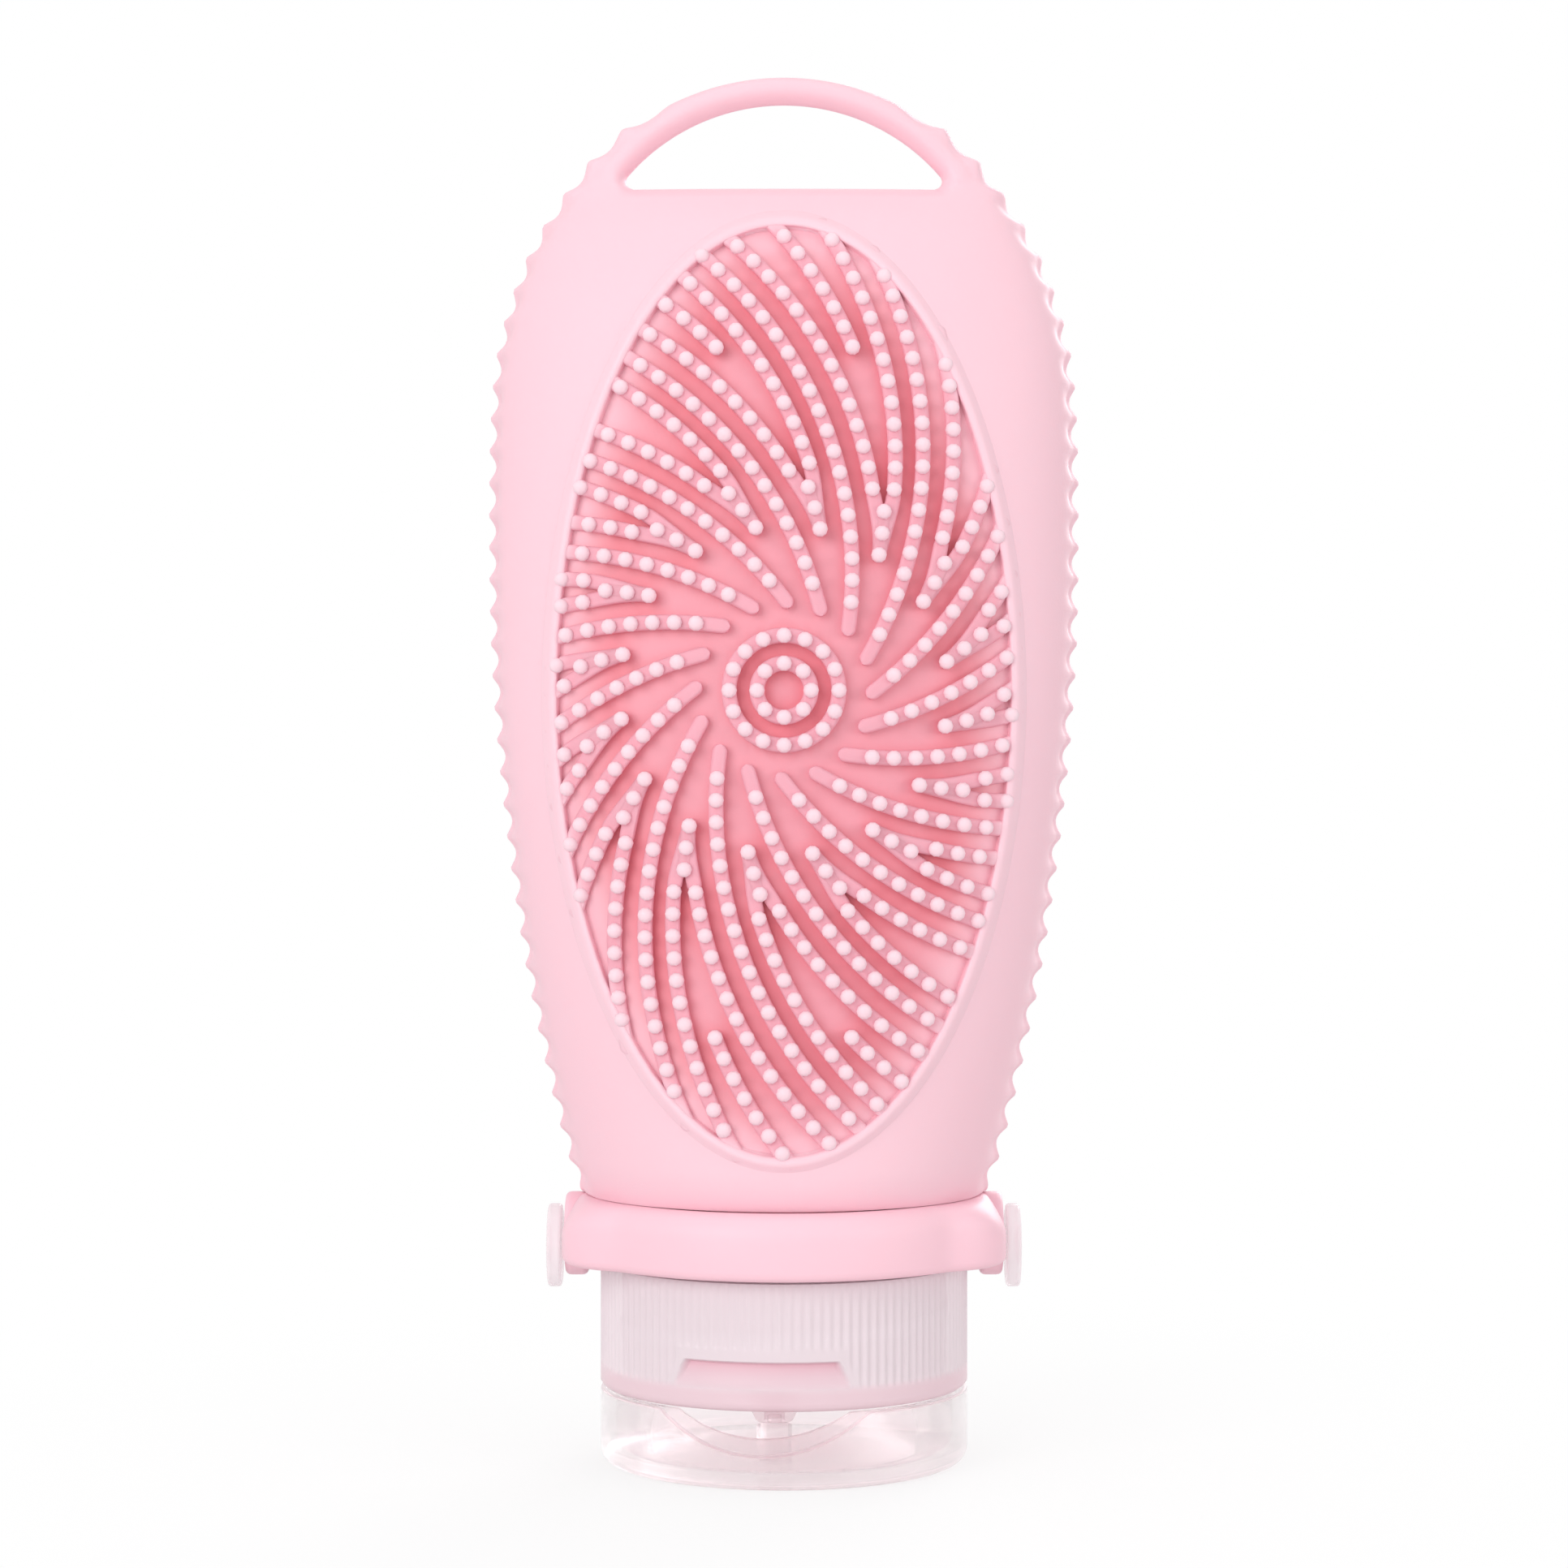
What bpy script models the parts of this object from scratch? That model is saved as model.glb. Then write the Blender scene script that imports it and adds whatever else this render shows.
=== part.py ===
"""Silicone dispenser bottle that stands on its flip cap, with a brush pad on its front.

Metres, +Z up, the front faces -Y. The origin is the centre of the flat outside of the lid,
which is the face that the bottle stands on. Run it with blender --background --python part.py.
"""
import math

import bmesh
import bpy
import numpy as np
from mathutils import Matrix, Vector
from mathutils.geometry import delaunay_2d_cdt, tessellate_polygon

# Fits that every piece shares
clearance = 0.0003
thread_clearance = 0.0004
cut_overrun = 0.0020
weld_distance = 0.000001

# Smoothness of round pieces
ring_steps = 40
small_steps = 16
boss_steps = 24
body_steps = 36
oval_steps = 48
oval_ring_shares = (0.66, 0.33)
arc_steps = 17
inner_steps = 15
edge_samples = 400
sharp_degrees = 40.0

# Flip lid
lid_height = 0.0080
lid_wall = 0.0016
lid_floor = 0.0015
lid_fillet = 0.0014
notch_depth = 0.0046
notch_width = 0.0222
plug_radius = 0.0019
plug_tip_gap = 0.0005
plug_tip_length = 0.0007

# Cap base with its nozzle, which turns with the lid on the neck
cap_yaw = -7.3
cap_base_height = 0.0134
cap_wall = 0.0023
deck_thickness = 0.0018
plain_band_height = 0.0036
rib_depth = 0.0004
rib_root = 0.0002
rib_count = 60
rib_margin = 0.0006
nozzle_offset = 0.0080
nozzle_radius = 0.0026
nozzle_length = 0.0041
orifice_radius = 0.0013
scoop_width = 0.0160
scoop_height = 0.0046
scoop_depth = 0.0010
scoop_rise = 0.0003
hinge_leaf_width = 0.0110
hinge_leaf_height = 0.0014
hinge_leaf_reach = 0.0007
hinge_leaf_root = 0.0010
hinge_leaf_step = 0.0002

# Screw thread between the neck and the cap
thread_pitch = 0.0040
thread_depth = 0.0012
thread_root_width = 0.0016
thread_crest_width = 0.0008
thread_turns = 1.25
thread_sink = 0.0004
thread_start = 0.0021
thread_steps = 32

# Pieces that sit on the deck inside the cap
seal_thickness = 0.0015
seal_overhang = 0.0012
valve_rim_width = 0.0024
valve_rim_height = 0.0022
valve_membrane = 0.0008
valve_membrane_drop = 0.0002
slit_width = 0.0003
slit_length = 0.0090
retainer_wall = 0.0006
retainer_lip_width = 0.0032
retainer_lip_height = 0.0013

# Rigid neck insert. Its outer radius sets the size of all the round pieces.
neck_outer_radius = 0.0160
neck_wall = 0.0023
neck_flange_height = 0.0009
neck_bead_height = 0.0014
neck_bead_depth = 0.0013
neck_bead_slope = 0.0004

# Collar with the two side bosses
collar_wall = 0.0036
collar_height = 0.0068
collar_round = 0.0010
boss_radius = 0.0045
boss_sink = 0.0017
boss_reach = 0.0009
boss_height = 0.0024
boss_round = 0.0010

# Studs snapped into the bosses
stud_drop = 0.0013
stud_head_radius = 0.0045
stud_head_thickness = 0.0015
stud_head_gap = 0.0004
stud_head_round = 0.0005
stud_peg_radius = 0.0014
stud_barb_radius = 0.0021
stud_barb_length = 0.0005
stud_barb_slope = 0.0003
stud_pocket_depth = 0.0018
stud_pocket_margin = 0.0004

# Silicone body
body_height = 0.1209
edge_height = 0.1153
body_half_width = 0.0321
body_half_depth = 0.0198
fin_depth = 0.0012
fin_root = 0.0014
fin_half_thickness = 0.0011
edge_power = 0.4
loop_half_thickness = 0.0017
scallop_pitch = 0.0035
scallop_depth = 0.0008
fin_start = 0.0012
back_wall = 0.0024
side_wall = 0.0026
front_wall = 0.0052
sleeve_wall = 0.0026
rim_margin = 0.0020
shoulder_rise = 0.0021
shoulder_width = 0.0016
loop_band = 0.0034
loop_end_growth = 0.0013
slot_rise = 0.1087
slot_corner = 0.0009
web_height = 0.0066

# Brush pad in the front of the body
pad_side_margin = 0.0070
pad_bottom_margin = 0.0043
pad_top_margin = 0.0040
brush_centre_drop = 0.0007
pad_rim_width = 0.0013
pad_rim_height = 0.0007
pad_rim_slope = 0.0002
pad_floor_depth = 0.0014
pad_backing = 0.0016
rib_width = 0.00165
rib_height = 0.0014
strand_height = 0.0011
strand_length = 0.0014
strand_pitch = 0.0028
strand_margin = 0.0010
arm_turn_radius = 0.0425
arm_count = 16
ring_radii = (0.0029, 0.0057)
ring_strands = (6, 12)
stem_length = 0.0050

# The five kinds of arm, from the middle outwards: how far from the middle each starts and how
# long it runs before its first strand, as shares of arm_turn_radius, and which way it heads
arm_start_shares = (0.204, 0.405, 0.539, 0.560, 0.859)
arm_lead_shares = (0.084, 0.0, 0.0, 0.0, 0.0)
arm_start_degrees = (-4.5, 10.0, 21.4, 16.3, 33.9)
arm_heading_degrees = (36.2, 35.5, 54.5, 41.0, 68.0)

# Body stations, from the rim upwards: share of edge_height, of the half width and of the half
# depth, how full the section is (1 is an ellipse, less is fuller), its edge as a share of
# fin_half_thickness, and how far the round rim still sets the section's size.
station_shares = np.array((
    (0.000, 0.689, 1.000, 1.00, 0.0, 1.00),
    (0.028, 0.729, 0.990, 0.98, 0.1, 0.85),
    (0.060, 0.766, 0.980, 0.96, 0.2, 0.70),
    (0.150, 0.838, 0.980, 0.90, 0.4, 0.35),
    (0.272, 0.913, 0.975, 0.84, 0.7, 0.00),
    (0.395, 0.963, 0.960, 0.80, 0.9, 0.00),
    (0.528, 0.991, 0.920, 0.78, 0.9, 0.00),
    (0.650, 1.000, 0.860, 0.78, 0.9, 0.00),
    (0.754, 0.989, 0.775, 0.80, 0.9, 0.00),
    (0.844, 0.921, 0.640, 0.82, 0.9, 0.00),
    (0.906, 0.822, 0.430, 0.86, 0.9, 0.00),
    (0.943, 0.717, 0.215, 0.90, 0.9, 0.00),
    (0.980, 0.620, 0.082, 1.00, 0.9, 0.00),
    (1.000, 0.539, 0.075, 1.00, 0.9, 0.00),
))
outer_level_shares = (0.016, 0.080, 0.170, 0.270, 0.370, 0.480, 0.580, 0.680, 0.760, 0.830,
                      0.880, 0.920, 0.943, 0.962, 0.980)
cavity_level_shares = (0.060, 0.160, 0.280, 0.400, 0.520, 0.640, 0.730, 0.790)
cavity_dome_shares = ((0.820, 0.82), (0.832, 0.45))
scallop_shares = (0.0, 1 / 3, 2 / 3)

# Radii that follow from the sizes
neck_bore_radius = neck_outer_radius - neck_wall
cap_inner_radius = neck_outer_radius + thread_depth + thread_clearance
cap_radius = cap_inner_radius + cap_wall
retainer_outer_radius = neck_bore_radius - clearance
valve_radius = retainer_outer_radius - retainer_wall - clearance
sleeve_inner_radius = neck_outer_radius + clearance
sleeve_outer_radius = sleeve_inner_radius + sleeve_wall
rim_radius = sleeve_outer_radius + rim_margin
collar_bore_radius = sleeve_outer_radius + clearance
collar_radius = collar_bore_radius + collar_wall
boss_inner = collar_radius - boss_sink
boss_outer = collar_radius + boss_reach

# Heights that follow from the sizes
base_bottom = lid_height + clearance
base_top = base_bottom + cap_base_height
deck_top = base_bottom + deck_thickness
collar_bottom = base_top + clearance
collar_top = collar_bottom + collar_height
body_bottom = collar_top + clearance
body_top = body_bottom + body_height
seal_bottom = deck_top + clearance
neck_bottom = seal_bottom + seal_thickness + clearance
flange_bottom = collar_bottom
flange_top = flange_bottom + neck_flange_height
sleeve_bottom = flange_top + clearance
neck_bead_bottom = body_bottom + 2 * clearance
neck_top = neck_bead_bottom + neck_bead_height
boss_centre = collar_bottom + boss_height
stud_centre = boss_centre - stud_drop
slot_bottom = body_bottom + slot_rise
pad_half_width = body_half_width - pad_side_margin
pad_half_height = (slot_rise - pad_bottom_margin - pad_top_margin) / 2
pad_centre = body_bottom + pad_bottom_margin + pad_half_height
brush_centre = pad_centre - brush_centre_drop
hinge_reach = cap_radius + hinge_leaf_reach
pivot_reach = hinge_reach + clearance
pivot_height = lid_height + clearance / 2


def srgb(red, green, blue):
    """Turn a colour in 0 to 255 into the linear values that Blender works in."""
    values = np.array((red, green, blue)) / 255.0
    linear = np.where(values <= 0.04045, values / 12.92, ((values + 0.055) / 1.055) ** 2.4)
    return (*linear.tolist(), 1.0)


def make_material(name, colour, roughness, alpha=1.0):
    """One Principled material for one piece."""
    material = bpy.data.materials.new(name)
    material.use_nodes = True
    shader = material.node_tree.nodes["Principled BSDF"]
    shader.inputs["Base Color"].default_value = colour
    shader.inputs["Roughness"].default_value = roughness
    shader.inputs["Metallic"].default_value = 0.0
    shader.inputs["Alpha"].default_value = alpha
    return material


def add_empty(name, location, parent=None, yaw=0.0):
    """An empty that carries moving pieces on its joint's axis."""
    empty = bpy.data.objects.new(name, None)
    empty.location = location
    empty.rotation_euler = (0.0, 0.0, math.radians(yaw))
    empty.parent = parent
    bpy.context.scene.collection.objects.link(empty)
    return empty


def add_piece(name, bm, material=None, parent=None, location=(0.0, 0.0, 0.0)):
    """Turn a bmesh into a named object with outward faces."""
    bmesh.ops.remove_doubles(bm, verts=bm.verts, dist=weld_distance)
    bmesh.ops.recalc_face_normals(bm, faces=bm.faces)
    mesh = bpy.data.meshes.new(name)
    bm.to_mesh(mesh)
    bm.free()
    mesh.shade_smooth()
    mesh.set_sharp_from_angle(angle=math.radians(sharp_degrees))
    piece = bpy.data.objects.new(name, mesh)
    if material:
        mesh.materials.append(material)
    piece.parent = parent
    piece.location = location
    bpy.context.scene.collection.objects.link(piece)
    return piece


def combine(piece, other, operation):
    """Union a helper into a piece, or cut it out, with a live Boolean."""
    other.hide_render = True
    other.display_type = "WIRE"
    modifier = piece.modifiers.new(other.name, "BOOLEAN")
    modifier.operation = operation
    modifier.object = other
    modifier.solver = "EXACT"


def turned(profile, steps=ring_steps, closed=True):
    """Spin a profile of (radius, height) points round Z. A closed one makes a ring."""
    bm = bmesh.new()
    points = [bm.verts.new((radius, 0.0, height)) for radius, height in profile]
    edges = [bm.edges.new(pair) for pair in zip(points, points[1:])]
    if closed:
        edges.append(bm.edges.new((points[-1], points[0])))
    bmesh.ops.spin(bm, geom=points + edges, cent=(0.0, 0.0, 0.0), axis=(0.0, 0.0, 1.0),
                   angle=2 * math.pi, steps=steps, use_merge=True)
    return bm


def cylinder(radius, low, high, steps=small_steps, centre=(0.0, 0.0)):
    """A plain round bar along Z."""
    bm = turned(((0.0, low), (radius, low), (radius, high), (0.0, high)), steps, False)
    bmesh.ops.translate(bm, verts=bm.verts, vec=(centre[0], centre[1], 0.0))
    return bm


def block(low, high):
    """A box between two corners."""
    bm = bmesh.new()
    bmesh.ops.create_cube(bm, size=1.0)
    size = [b - a for a, b in zip(low, high)]
    middle = [(a + b) / 2 for a, b in zip(low, high)]
    bmesh.ops.scale(bm, verts=bm.verts, vec=size)
    bmesh.ops.translate(bm, verts=bm.verts, vec=middle)
    return bm


def thread_ridge(root_radius, crest_radius, start_height, start_turn):
    """A right-hand helical ridge whose section is a trapezium, closed at both ends."""
    bm = bmesh.new()
    steps = round(thread_turns * thread_steps)
    section = ((root_radius, -thread_root_width / 2), (crest_radius, -thread_crest_width / 2),
               (crest_radius, thread_crest_width / 2), (root_radius, thread_root_width / 2))
    rows = []
    for step in range(steps + 1):
        turn = start_turn + step / thread_steps
        angle = 2 * math.pi * turn
        height = start_height + thread_pitch * step / thread_steps
        rows.append([bm.verts.new((radius * math.cos(angle), radius * math.sin(angle),
                                   height + shift)) for radius, shift in section])
    for low, high in zip(rows, rows[1:]):
        for i in range(len(section)):
            j = (i + 1) % len(section)
            bm.faces.new((low[i], low[j], high[j], high[i]))
    bm.faces.new(rows[0])
    bm.faces.new(rows[-1])
    return bm


def smooth(column, share):
    """Read one column of the body's stations at a share of the height, as a smooth cubic."""
    heights = station_shares[:, 0]
    values = station_shares[:, column]
    slopes = np.gradient(values, heights)
    i = int(np.clip(np.searchsorted(heights, share) - 1, 0, len(heights) - 2))
    span = heights[i + 1] - heights[i]
    u = (share - heights[i]) / span
    start = (1 + 2 * u) * (1 - u) ** 2 * values[i] + u * (1 - u) ** 2 * span * slopes[i]
    end = u * u * (3 - 2 * u) * values[i + 1] + u * u * (u - 1) * span * slopes[i + 1]
    return float(start + end)


def height_share(z):
    """Share of the scalloped height at a world height."""
    return (z - body_bottom) / edge_height


def outline_half_width(share):
    """Half width of the bottle over the tips of its scallops."""
    rim = smooth(5, share)
    rim_half_width = (rim_radius + fin_depth) / station_shares[0, 1]
    return smooth(1, share) * (rim * rim_half_width + (1 - rim) * body_half_width)


def section_sizes(share):
    """Half width, half depth, fullness and edge of the body's outer skin."""
    rim = smooth(5, share)
    half_depth = smooth(2, share) * (rim * rim_radius + (1 - rim) * body_half_depth)
    edge = fin_half_thickness * smooth(4, share)
    return outline_half_width(share) - fin_depth, half_depth, smooth(3, share), edge


def section_depth(sine, half_depth, power, edge):
    """Depth of a section where its angle has this sine: a lens on a rounded edge."""
    return (half_depth - edge) * sine ** power + edge * sine ** edge_power


def front_depth(x, z):
    """How far the body's front lies before the plane Y = 0."""
    half_width, half_depth, power, edge = section_sizes(height_share(z))
    sine = math.sqrt(max(0.0, 1.0 - (x / half_width) ** 2))
    return section_depth(sine, half_depth, power, edge)


def section_ring(bm, z, half_width, half_depth, power=1.0, edge=0.0, shift=0.0):
    """Vertices of one closed section of the body, anticlockwise from +X."""
    ring = []
    for step in range(body_steps):
        angle = 2 * math.pi * step / body_steps
        sine = abs(math.sin(angle))
        if 2 * step % body_steps == 0:
            sine = 0.0
        depth = section_depth(sine, half_depth, power, edge)
        side = 1.0 if 2 * step < body_steps else -1.0
        ring.append(bm.verts.new((half_width * math.cos(angle), side * depth + shift, z)))
    return ring


def bridge(bm, low, high):
    """Quads between two rings of the same count."""
    count = len(low)
    for i in range(count):
        j = (i + 1) % count
        bm.faces.new((low[i], low[j], high[j], high[i]))


def close_across(bm, ring):
    """Close a ring with a ladder of faces from its front half to its back half."""
    count = len(ring)
    for i in range(count // 2):
        corners = (ring[i], ring[i + 1], ring[(count - i - 1) % count], ring[(count - i) % count])
        unique = list(dict.fromkeys(corners))
        bm.faces.new(unique)


def flask_mesh():
    """The hollow flask: cavity, mouth sleeve and outer skin as one closed surface."""
    bm = bmesh.new()
    cavity_shift = (front_wall - back_wall) / 2
    mean_wall = (front_wall + back_wall) / 2
    rings = []
    scales = [(share, 1.0) for share in cavity_level_shares] + list(cavity_dome_shares)
    for share, scale in reversed(scales):
        half_width, half_depth, power, edge = section_sizes(share)
        rings.append(section_ring(bm, body_bottom + share * edge_height,
                                  (half_width - side_wall) * scale,
                                  (half_depth - mean_wall) * scale,
                                  power, edge * scale / 2, cavity_shift))
    shoulder_radius = sleeve_inner_radius + shoulder_width
    rings.append(section_ring(bm, body_bottom + shoulder_rise, shoulder_radius, shoulder_radius))
    rings.append(section_ring(bm, body_bottom + clearance, shoulder_radius, shoulder_radius))
    for radius, z in ((sleeve_inner_radius, body_bottom + clearance),
                      (sleeve_inner_radius, sleeve_bottom),
                      (sleeve_outer_radius, sleeve_bottom),
                      (sleeve_outer_radius, body_bottom)):
        rings.append(section_ring(bm, z, radius, radius))
    rings.append(section_ring(bm, body_bottom, rim_radius - clearance, rim_radius - clearance))
    for share in outer_level_shares:
        half_width, half_depth, power, edge = section_sizes(share)
        rings.append(section_ring(bm, body_bottom + share * edge_height,
                                  half_width, half_depth, power, edge))
    for low, high in zip(rings, rings[1:]):
        bridge(bm, low, high)
    close_across(bm, rings[0])
    close_across(bm, rings[-1])
    return bm


def scallop_points():
    """Right-hand edge of the bottle, bottom to top: concave arcs between pointed tips."""
    shares = np.linspace(fin_start / edge_height, 1.0, edge_samples)
    x = np.array([outline_half_width(share) for share in shares])
    z = body_bottom + shares * edge_height
    along = np.concatenate(((0.0,), np.cumsum(np.hypot(np.diff(x), np.diff(z)))))
    teeth = round(along[-1] / scallop_pitch)
    points = []
    for tooth in range(teeth):
        for part in scallop_shares:
            place = along[-1] * (tooth + part) / teeth
            step = along[-1] / len(shares)
            here = np.array((np.interp(place, along, x), np.interp(place, along, z)))
            ahead = np.array((np.interp(place + step, along, x), np.interp(place + step, along, z)))
            run = (ahead - here) / np.linalg.norm(ahead - here)
            inward = np.array((-run[1], run[0]))
            points.append(here + inward * scallop_depth * 4 * part * (1 - part))
    points.append(np.array((x[-1], z[-1])))
    return points


def loop_arc():
    """Radius of the loop's outer arc, which runs from shoulder to shoulder over the top, and
    its half span."""
    reach = outline_half_width(1.0) - scallop_depth
    rise = body_height - edge_height
    return (reach ** 2 + rise ** 2) / (2 * rise), reach


def edge_plate_mesh():
    """The thin scalloped edge and the hanging loop, as one flat horseshoe with its web."""
    right = scallop_points()
    radius, reach = loop_arc()
    loop_centre = body_top - radius
    sweep = math.asin(reach / radius)
    arc = [np.array((radius * math.sin(angle), loop_centre + radius * math.cos(angle)))
           for angle in np.linspace(sweep, -sweep, arc_steps)]
    left = [point * (-1.0, 1.0) for point in reversed(right)]
    web_bottom = slot_bottom - web_height
    inner_shares = np.linspace(fin_start / edge_height, height_share(web_bottom), inner_steps)
    inner = [np.array((outline_half_width(share) - fin_depth - fin_root,
                       body_bottom + share * edge_height)) for share in inner_shares]
    outline = right + arc + left + [point * (-1.0, 1.0) for point in inner] + inner[::-1]
    flat = [Vector((x, z, 0.0)) for x, z in outline]
    bm = bmesh.new()
    sides = []
    for side in (-1.0, 1.0):
        row = []
        for x, z in outline:
            rise = min(1.0, max(0.0, (z - web_bottom) / web_height))
            half = fin_half_thickness + (loop_half_thickness - fin_half_thickness) * rise
            row.append(bm.verts.new((x, side * half, z)))
        sides.append(row)
        for corners in tessellate_polygon((flat,)):
            bm.faces.new([row[i] for i in corners])
    bridge(bm, sides[0], sides[1])
    return bm


def slot_cutter_mesh():
    """The D-shaped hanging slot: flat below, an arc above, with small round ends."""
    radius = loop_arc()[0] - loop_band - loop_end_growth
    arc_centre = body_top - loop_band - radius
    rise = slot_bottom + slot_corner - arc_centre
    sweep = math.acos(rise / radius)
    low_reach = radius * math.sin(sweep) - slot_corner
    outline = [(low_reach, slot_bottom)]
    outline += [(radius * math.sin(angle), arc_centre + radius * math.cos(angle))
                for angle in np.linspace(sweep, -sweep, arc_steps)]
    outline += [(-low_reach, slot_bottom)]
    bm = bmesh.new()
    front = [bm.verts.new((x, -body_half_depth, z)) for x, z in outline]
    back = [bm.verts.new((x, body_half_depth, z)) for x, z in outline]
    bm.faces.new(front)
    bm.faces.new(back)
    bridge(bm, front, back)
    return bm


def oval_loop(bm, inset, lift):
    """A ring of vertices round the brush oval, on the body's front plus a lift."""
    loop = []
    for step in range(oval_steps):
        angle = 2 * math.pi * step / oval_steps
        x = (pad_half_width - inset) * math.cos(angle)
        z = pad_centre + (pad_half_height - inset) * math.sin(angle)
        loop.append(bm.verts.new((x, -(front_depth(x, z) + lift), z)))
    return loop


def close_oval(bm, rim, inset, lift):
    """Close an oval ring with a domed face that keeps to the body's curve."""
    outer = rim
    for share in oval_ring_shares:
        x_inset = pad_half_width - (pad_half_width - inset) * share
        z_inset = pad_half_height - (pad_half_height - inset) * share
        inner = []
        for step in range(oval_steps):
            angle = 2 * math.pi * step / oval_steps
            x = (pad_half_width - x_inset) * math.cos(angle)
            z = pad_centre + (pad_half_height - z_inset) * math.sin(angle)
            inner.append(bm.verts.new((x, -(front_depth(x, z) + lift), z)))
        bridge(bm, outer, inner)
        outer = inner
    middle = bm.verts.new((0.0, -(front_depth(0.0, pad_centre) + lift), pad_centre))
    for i in range(oval_steps):
        bm.faces.new((outer[i], outer[(i + 1) % oval_steps], middle))


def recess_cutter_mesh():
    """What the brush pad sits in, a clearance larger than the pad all round."""
    bm = bmesh.new()
    depth = pad_floor_depth + pad_backing + clearance
    floor = oval_loop(bm, -clearance, -depth)
    close_oval(bm, floor, -clearance, -depth)
    front = [bm.verts.new((v.co.x, -body_half_depth - cut_overrun, v.co.z)) for v in floor]
    bridge(bm, floor, front)
    bm.faces.new(front)
    return bm


class Rib:
    """One rib of the brush: a path in the X-Z plane that carries raised strands."""

    def __init__(self, places, starts, length, closed):
        self.places = places
        self.starts = starts
        self.length = length
        self.closed = closed

    def floor_stops(self):
        """Distances along the path where the rib's foot has a vertex."""
        middles = [start + strand_length / 2 for start in self.starts[1:-1]]
        if self.closed:
            return [start + strand_length / 2 for start in self.starts]
        return [0.0] + middles + [self.length]


def arm_rib(kind, turn):
    """An arm of the brush: an arc that bends anticlockwise as it runs outwards."""
    start_radius = arm_start_shares[kind] * arm_turn_radius
    polar = math.radians(arm_start_degrees[kind]) + turn
    bearing = math.radians(arm_heading_degrees[kind]) + turn
    longest = stem_length if kind == 1 else 2 * pad_half_height
    start = np.array((start_radius * math.cos(polar), brush_centre + start_radius * math.sin(polar)))
    centre = start + arm_turn_radius * np.array((-math.sin(bearing), math.cos(bearing)))

    def places(distance, side):
        angle = bearing + distance / arm_turn_radius
        radius = arm_turn_radius - side * rib_width / 2
        return centre + radius * np.array((math.sin(angle), -math.cos(angle)))

    reach_x = pad_half_width - pad_rim_width - strand_margin
    reach_z = pad_half_height - pad_rim_width - strand_margin
    starts = []
    distance = arm_lead_shares[kind] * arm_turn_radius
    while distance + strand_length <= longest:
        ends = [places(distance + strand_length, side) for side in (-1, 1)]
        if max((x / reach_x) ** 2 + ((z - pad_centre) / reach_z) ** 2 for x, z in ends) > 1:
            break
        starts.append(distance)
        distance += strand_pitch
    if not starts:
        return None
    rib = Rib(places, starts, starts[-1] + strand_length, False)
    rib.covers = lambda p: abs(np.hypot(*(p - centre)) - arm_turn_radius) < rib_width / 2
    return rib


def ring_rib(radius, count):
    """A closed ring of strands round the middle of the brush."""
    middle = np.array((0.0, brush_centre))

    def places(distance, side):
        angle = distance / radius
        return middle + (radius - side * rib_width / 2) * np.array((math.cos(angle), math.sin(angle)))

    around = 2 * math.pi * radius
    starts = [around * i / count for i in range(count)]
    rib = Rib(places, starts, around, True)
    rib.covers = lambda p: abs(np.hypot(*(p - middle)) - radius) < rib_width / 2
    return rib


def brush_ribs():
    """All ribs: two rings, then sixteen turns of the five kinds of arm."""
    ribs = [ring_rib(radius, count) for radius, count in zip(ring_radii, ring_strands)]
    for index in range(arm_count):
        turn = 2 * math.pi * index / arm_count
        for kind in range(len(arm_start_shares)):
            rib = arm_rib(kind, turn)
            if rib:
                ribs.append(rib)
    return ribs


def zip_strip(bm, lower, upper):
    """Triangles between two rows of (distance, vertex), in step with the distance."""
    i = 0
    j = 0
    while i < len(lower) - 1 or j < len(upper) - 1:
        take_lower = j == len(upper) - 1
        if i < len(lower) - 1 and j < len(upper) - 1:
            take_lower = lower[i + 1][0] <= upper[j + 1][0]
        if take_lower:
            bm.faces.new((lower[i][1], lower[i + 1][1], upper[j][1]))
            i += 1
        else:
            bm.faces.new((lower[i][1], upper[j + 1][1], upper[j][1]))
            j += 1


def raise_rib(bm, rib, feet):
    """Build a rib's walls, its top and its strands over its foot vertices."""
    def lifted(distance, side, lift):
        x, z = rib.places(distance, side)
        return bm.verts.new((x, -(front_depth(x, z) + lift), z))

    stops = [] if rib.closed or rib.starts[0] == 0 else [0.0]
    for start in rib.starts:
        stops += [start, start + strand_length]
    low_lift = rib_height - pad_floor_depth
    low = {side: [(stop, lifted(stop, side, low_lift)) for stop in stops] for side in (-1, 1)}
    if rib.closed:
        for side in (-1, 1):
            low[side].append((rib.length, low[side][0][1]))
            first = feet[side][0]
            feet[side] = feet[side] + [(rib.length + first[0], first[1])]
            low[side].append((rib.length + strand_length, low[side][1][1]))
    for side in (-1, 1):
        upper = low[side][1:] if rib.closed else low[side]
        zip_strip(bm, feet[side], upper)
    pairs = list(zip(low[-1], low[1]))
    if rib.closed:
        pairs = pairs[:-1]
    for (left, right), (next_left, next_right) in zip(pairs, pairs[1:]):
        corners = (left[1], next_left[1], next_right[1], right[1])
        if left[0] in rib.starts:
            top = []
            for side, stop in ((-1, left[0]), (-1, next_left[0]), (1, next_left[0]), (1, left[0])):
                top.append(lifted(stop, side, low_lift + strand_height))
            bridge(bm, corners, top)
            bm.faces.new(top)
        else:
            bm.faces.new(corners)
    if not rib.closed:
        for end in (0, -1):
            bm.faces.new((feet[-1][end][1], feet[1][end][1], low[1][end][1], low[-1][end][1]))


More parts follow.
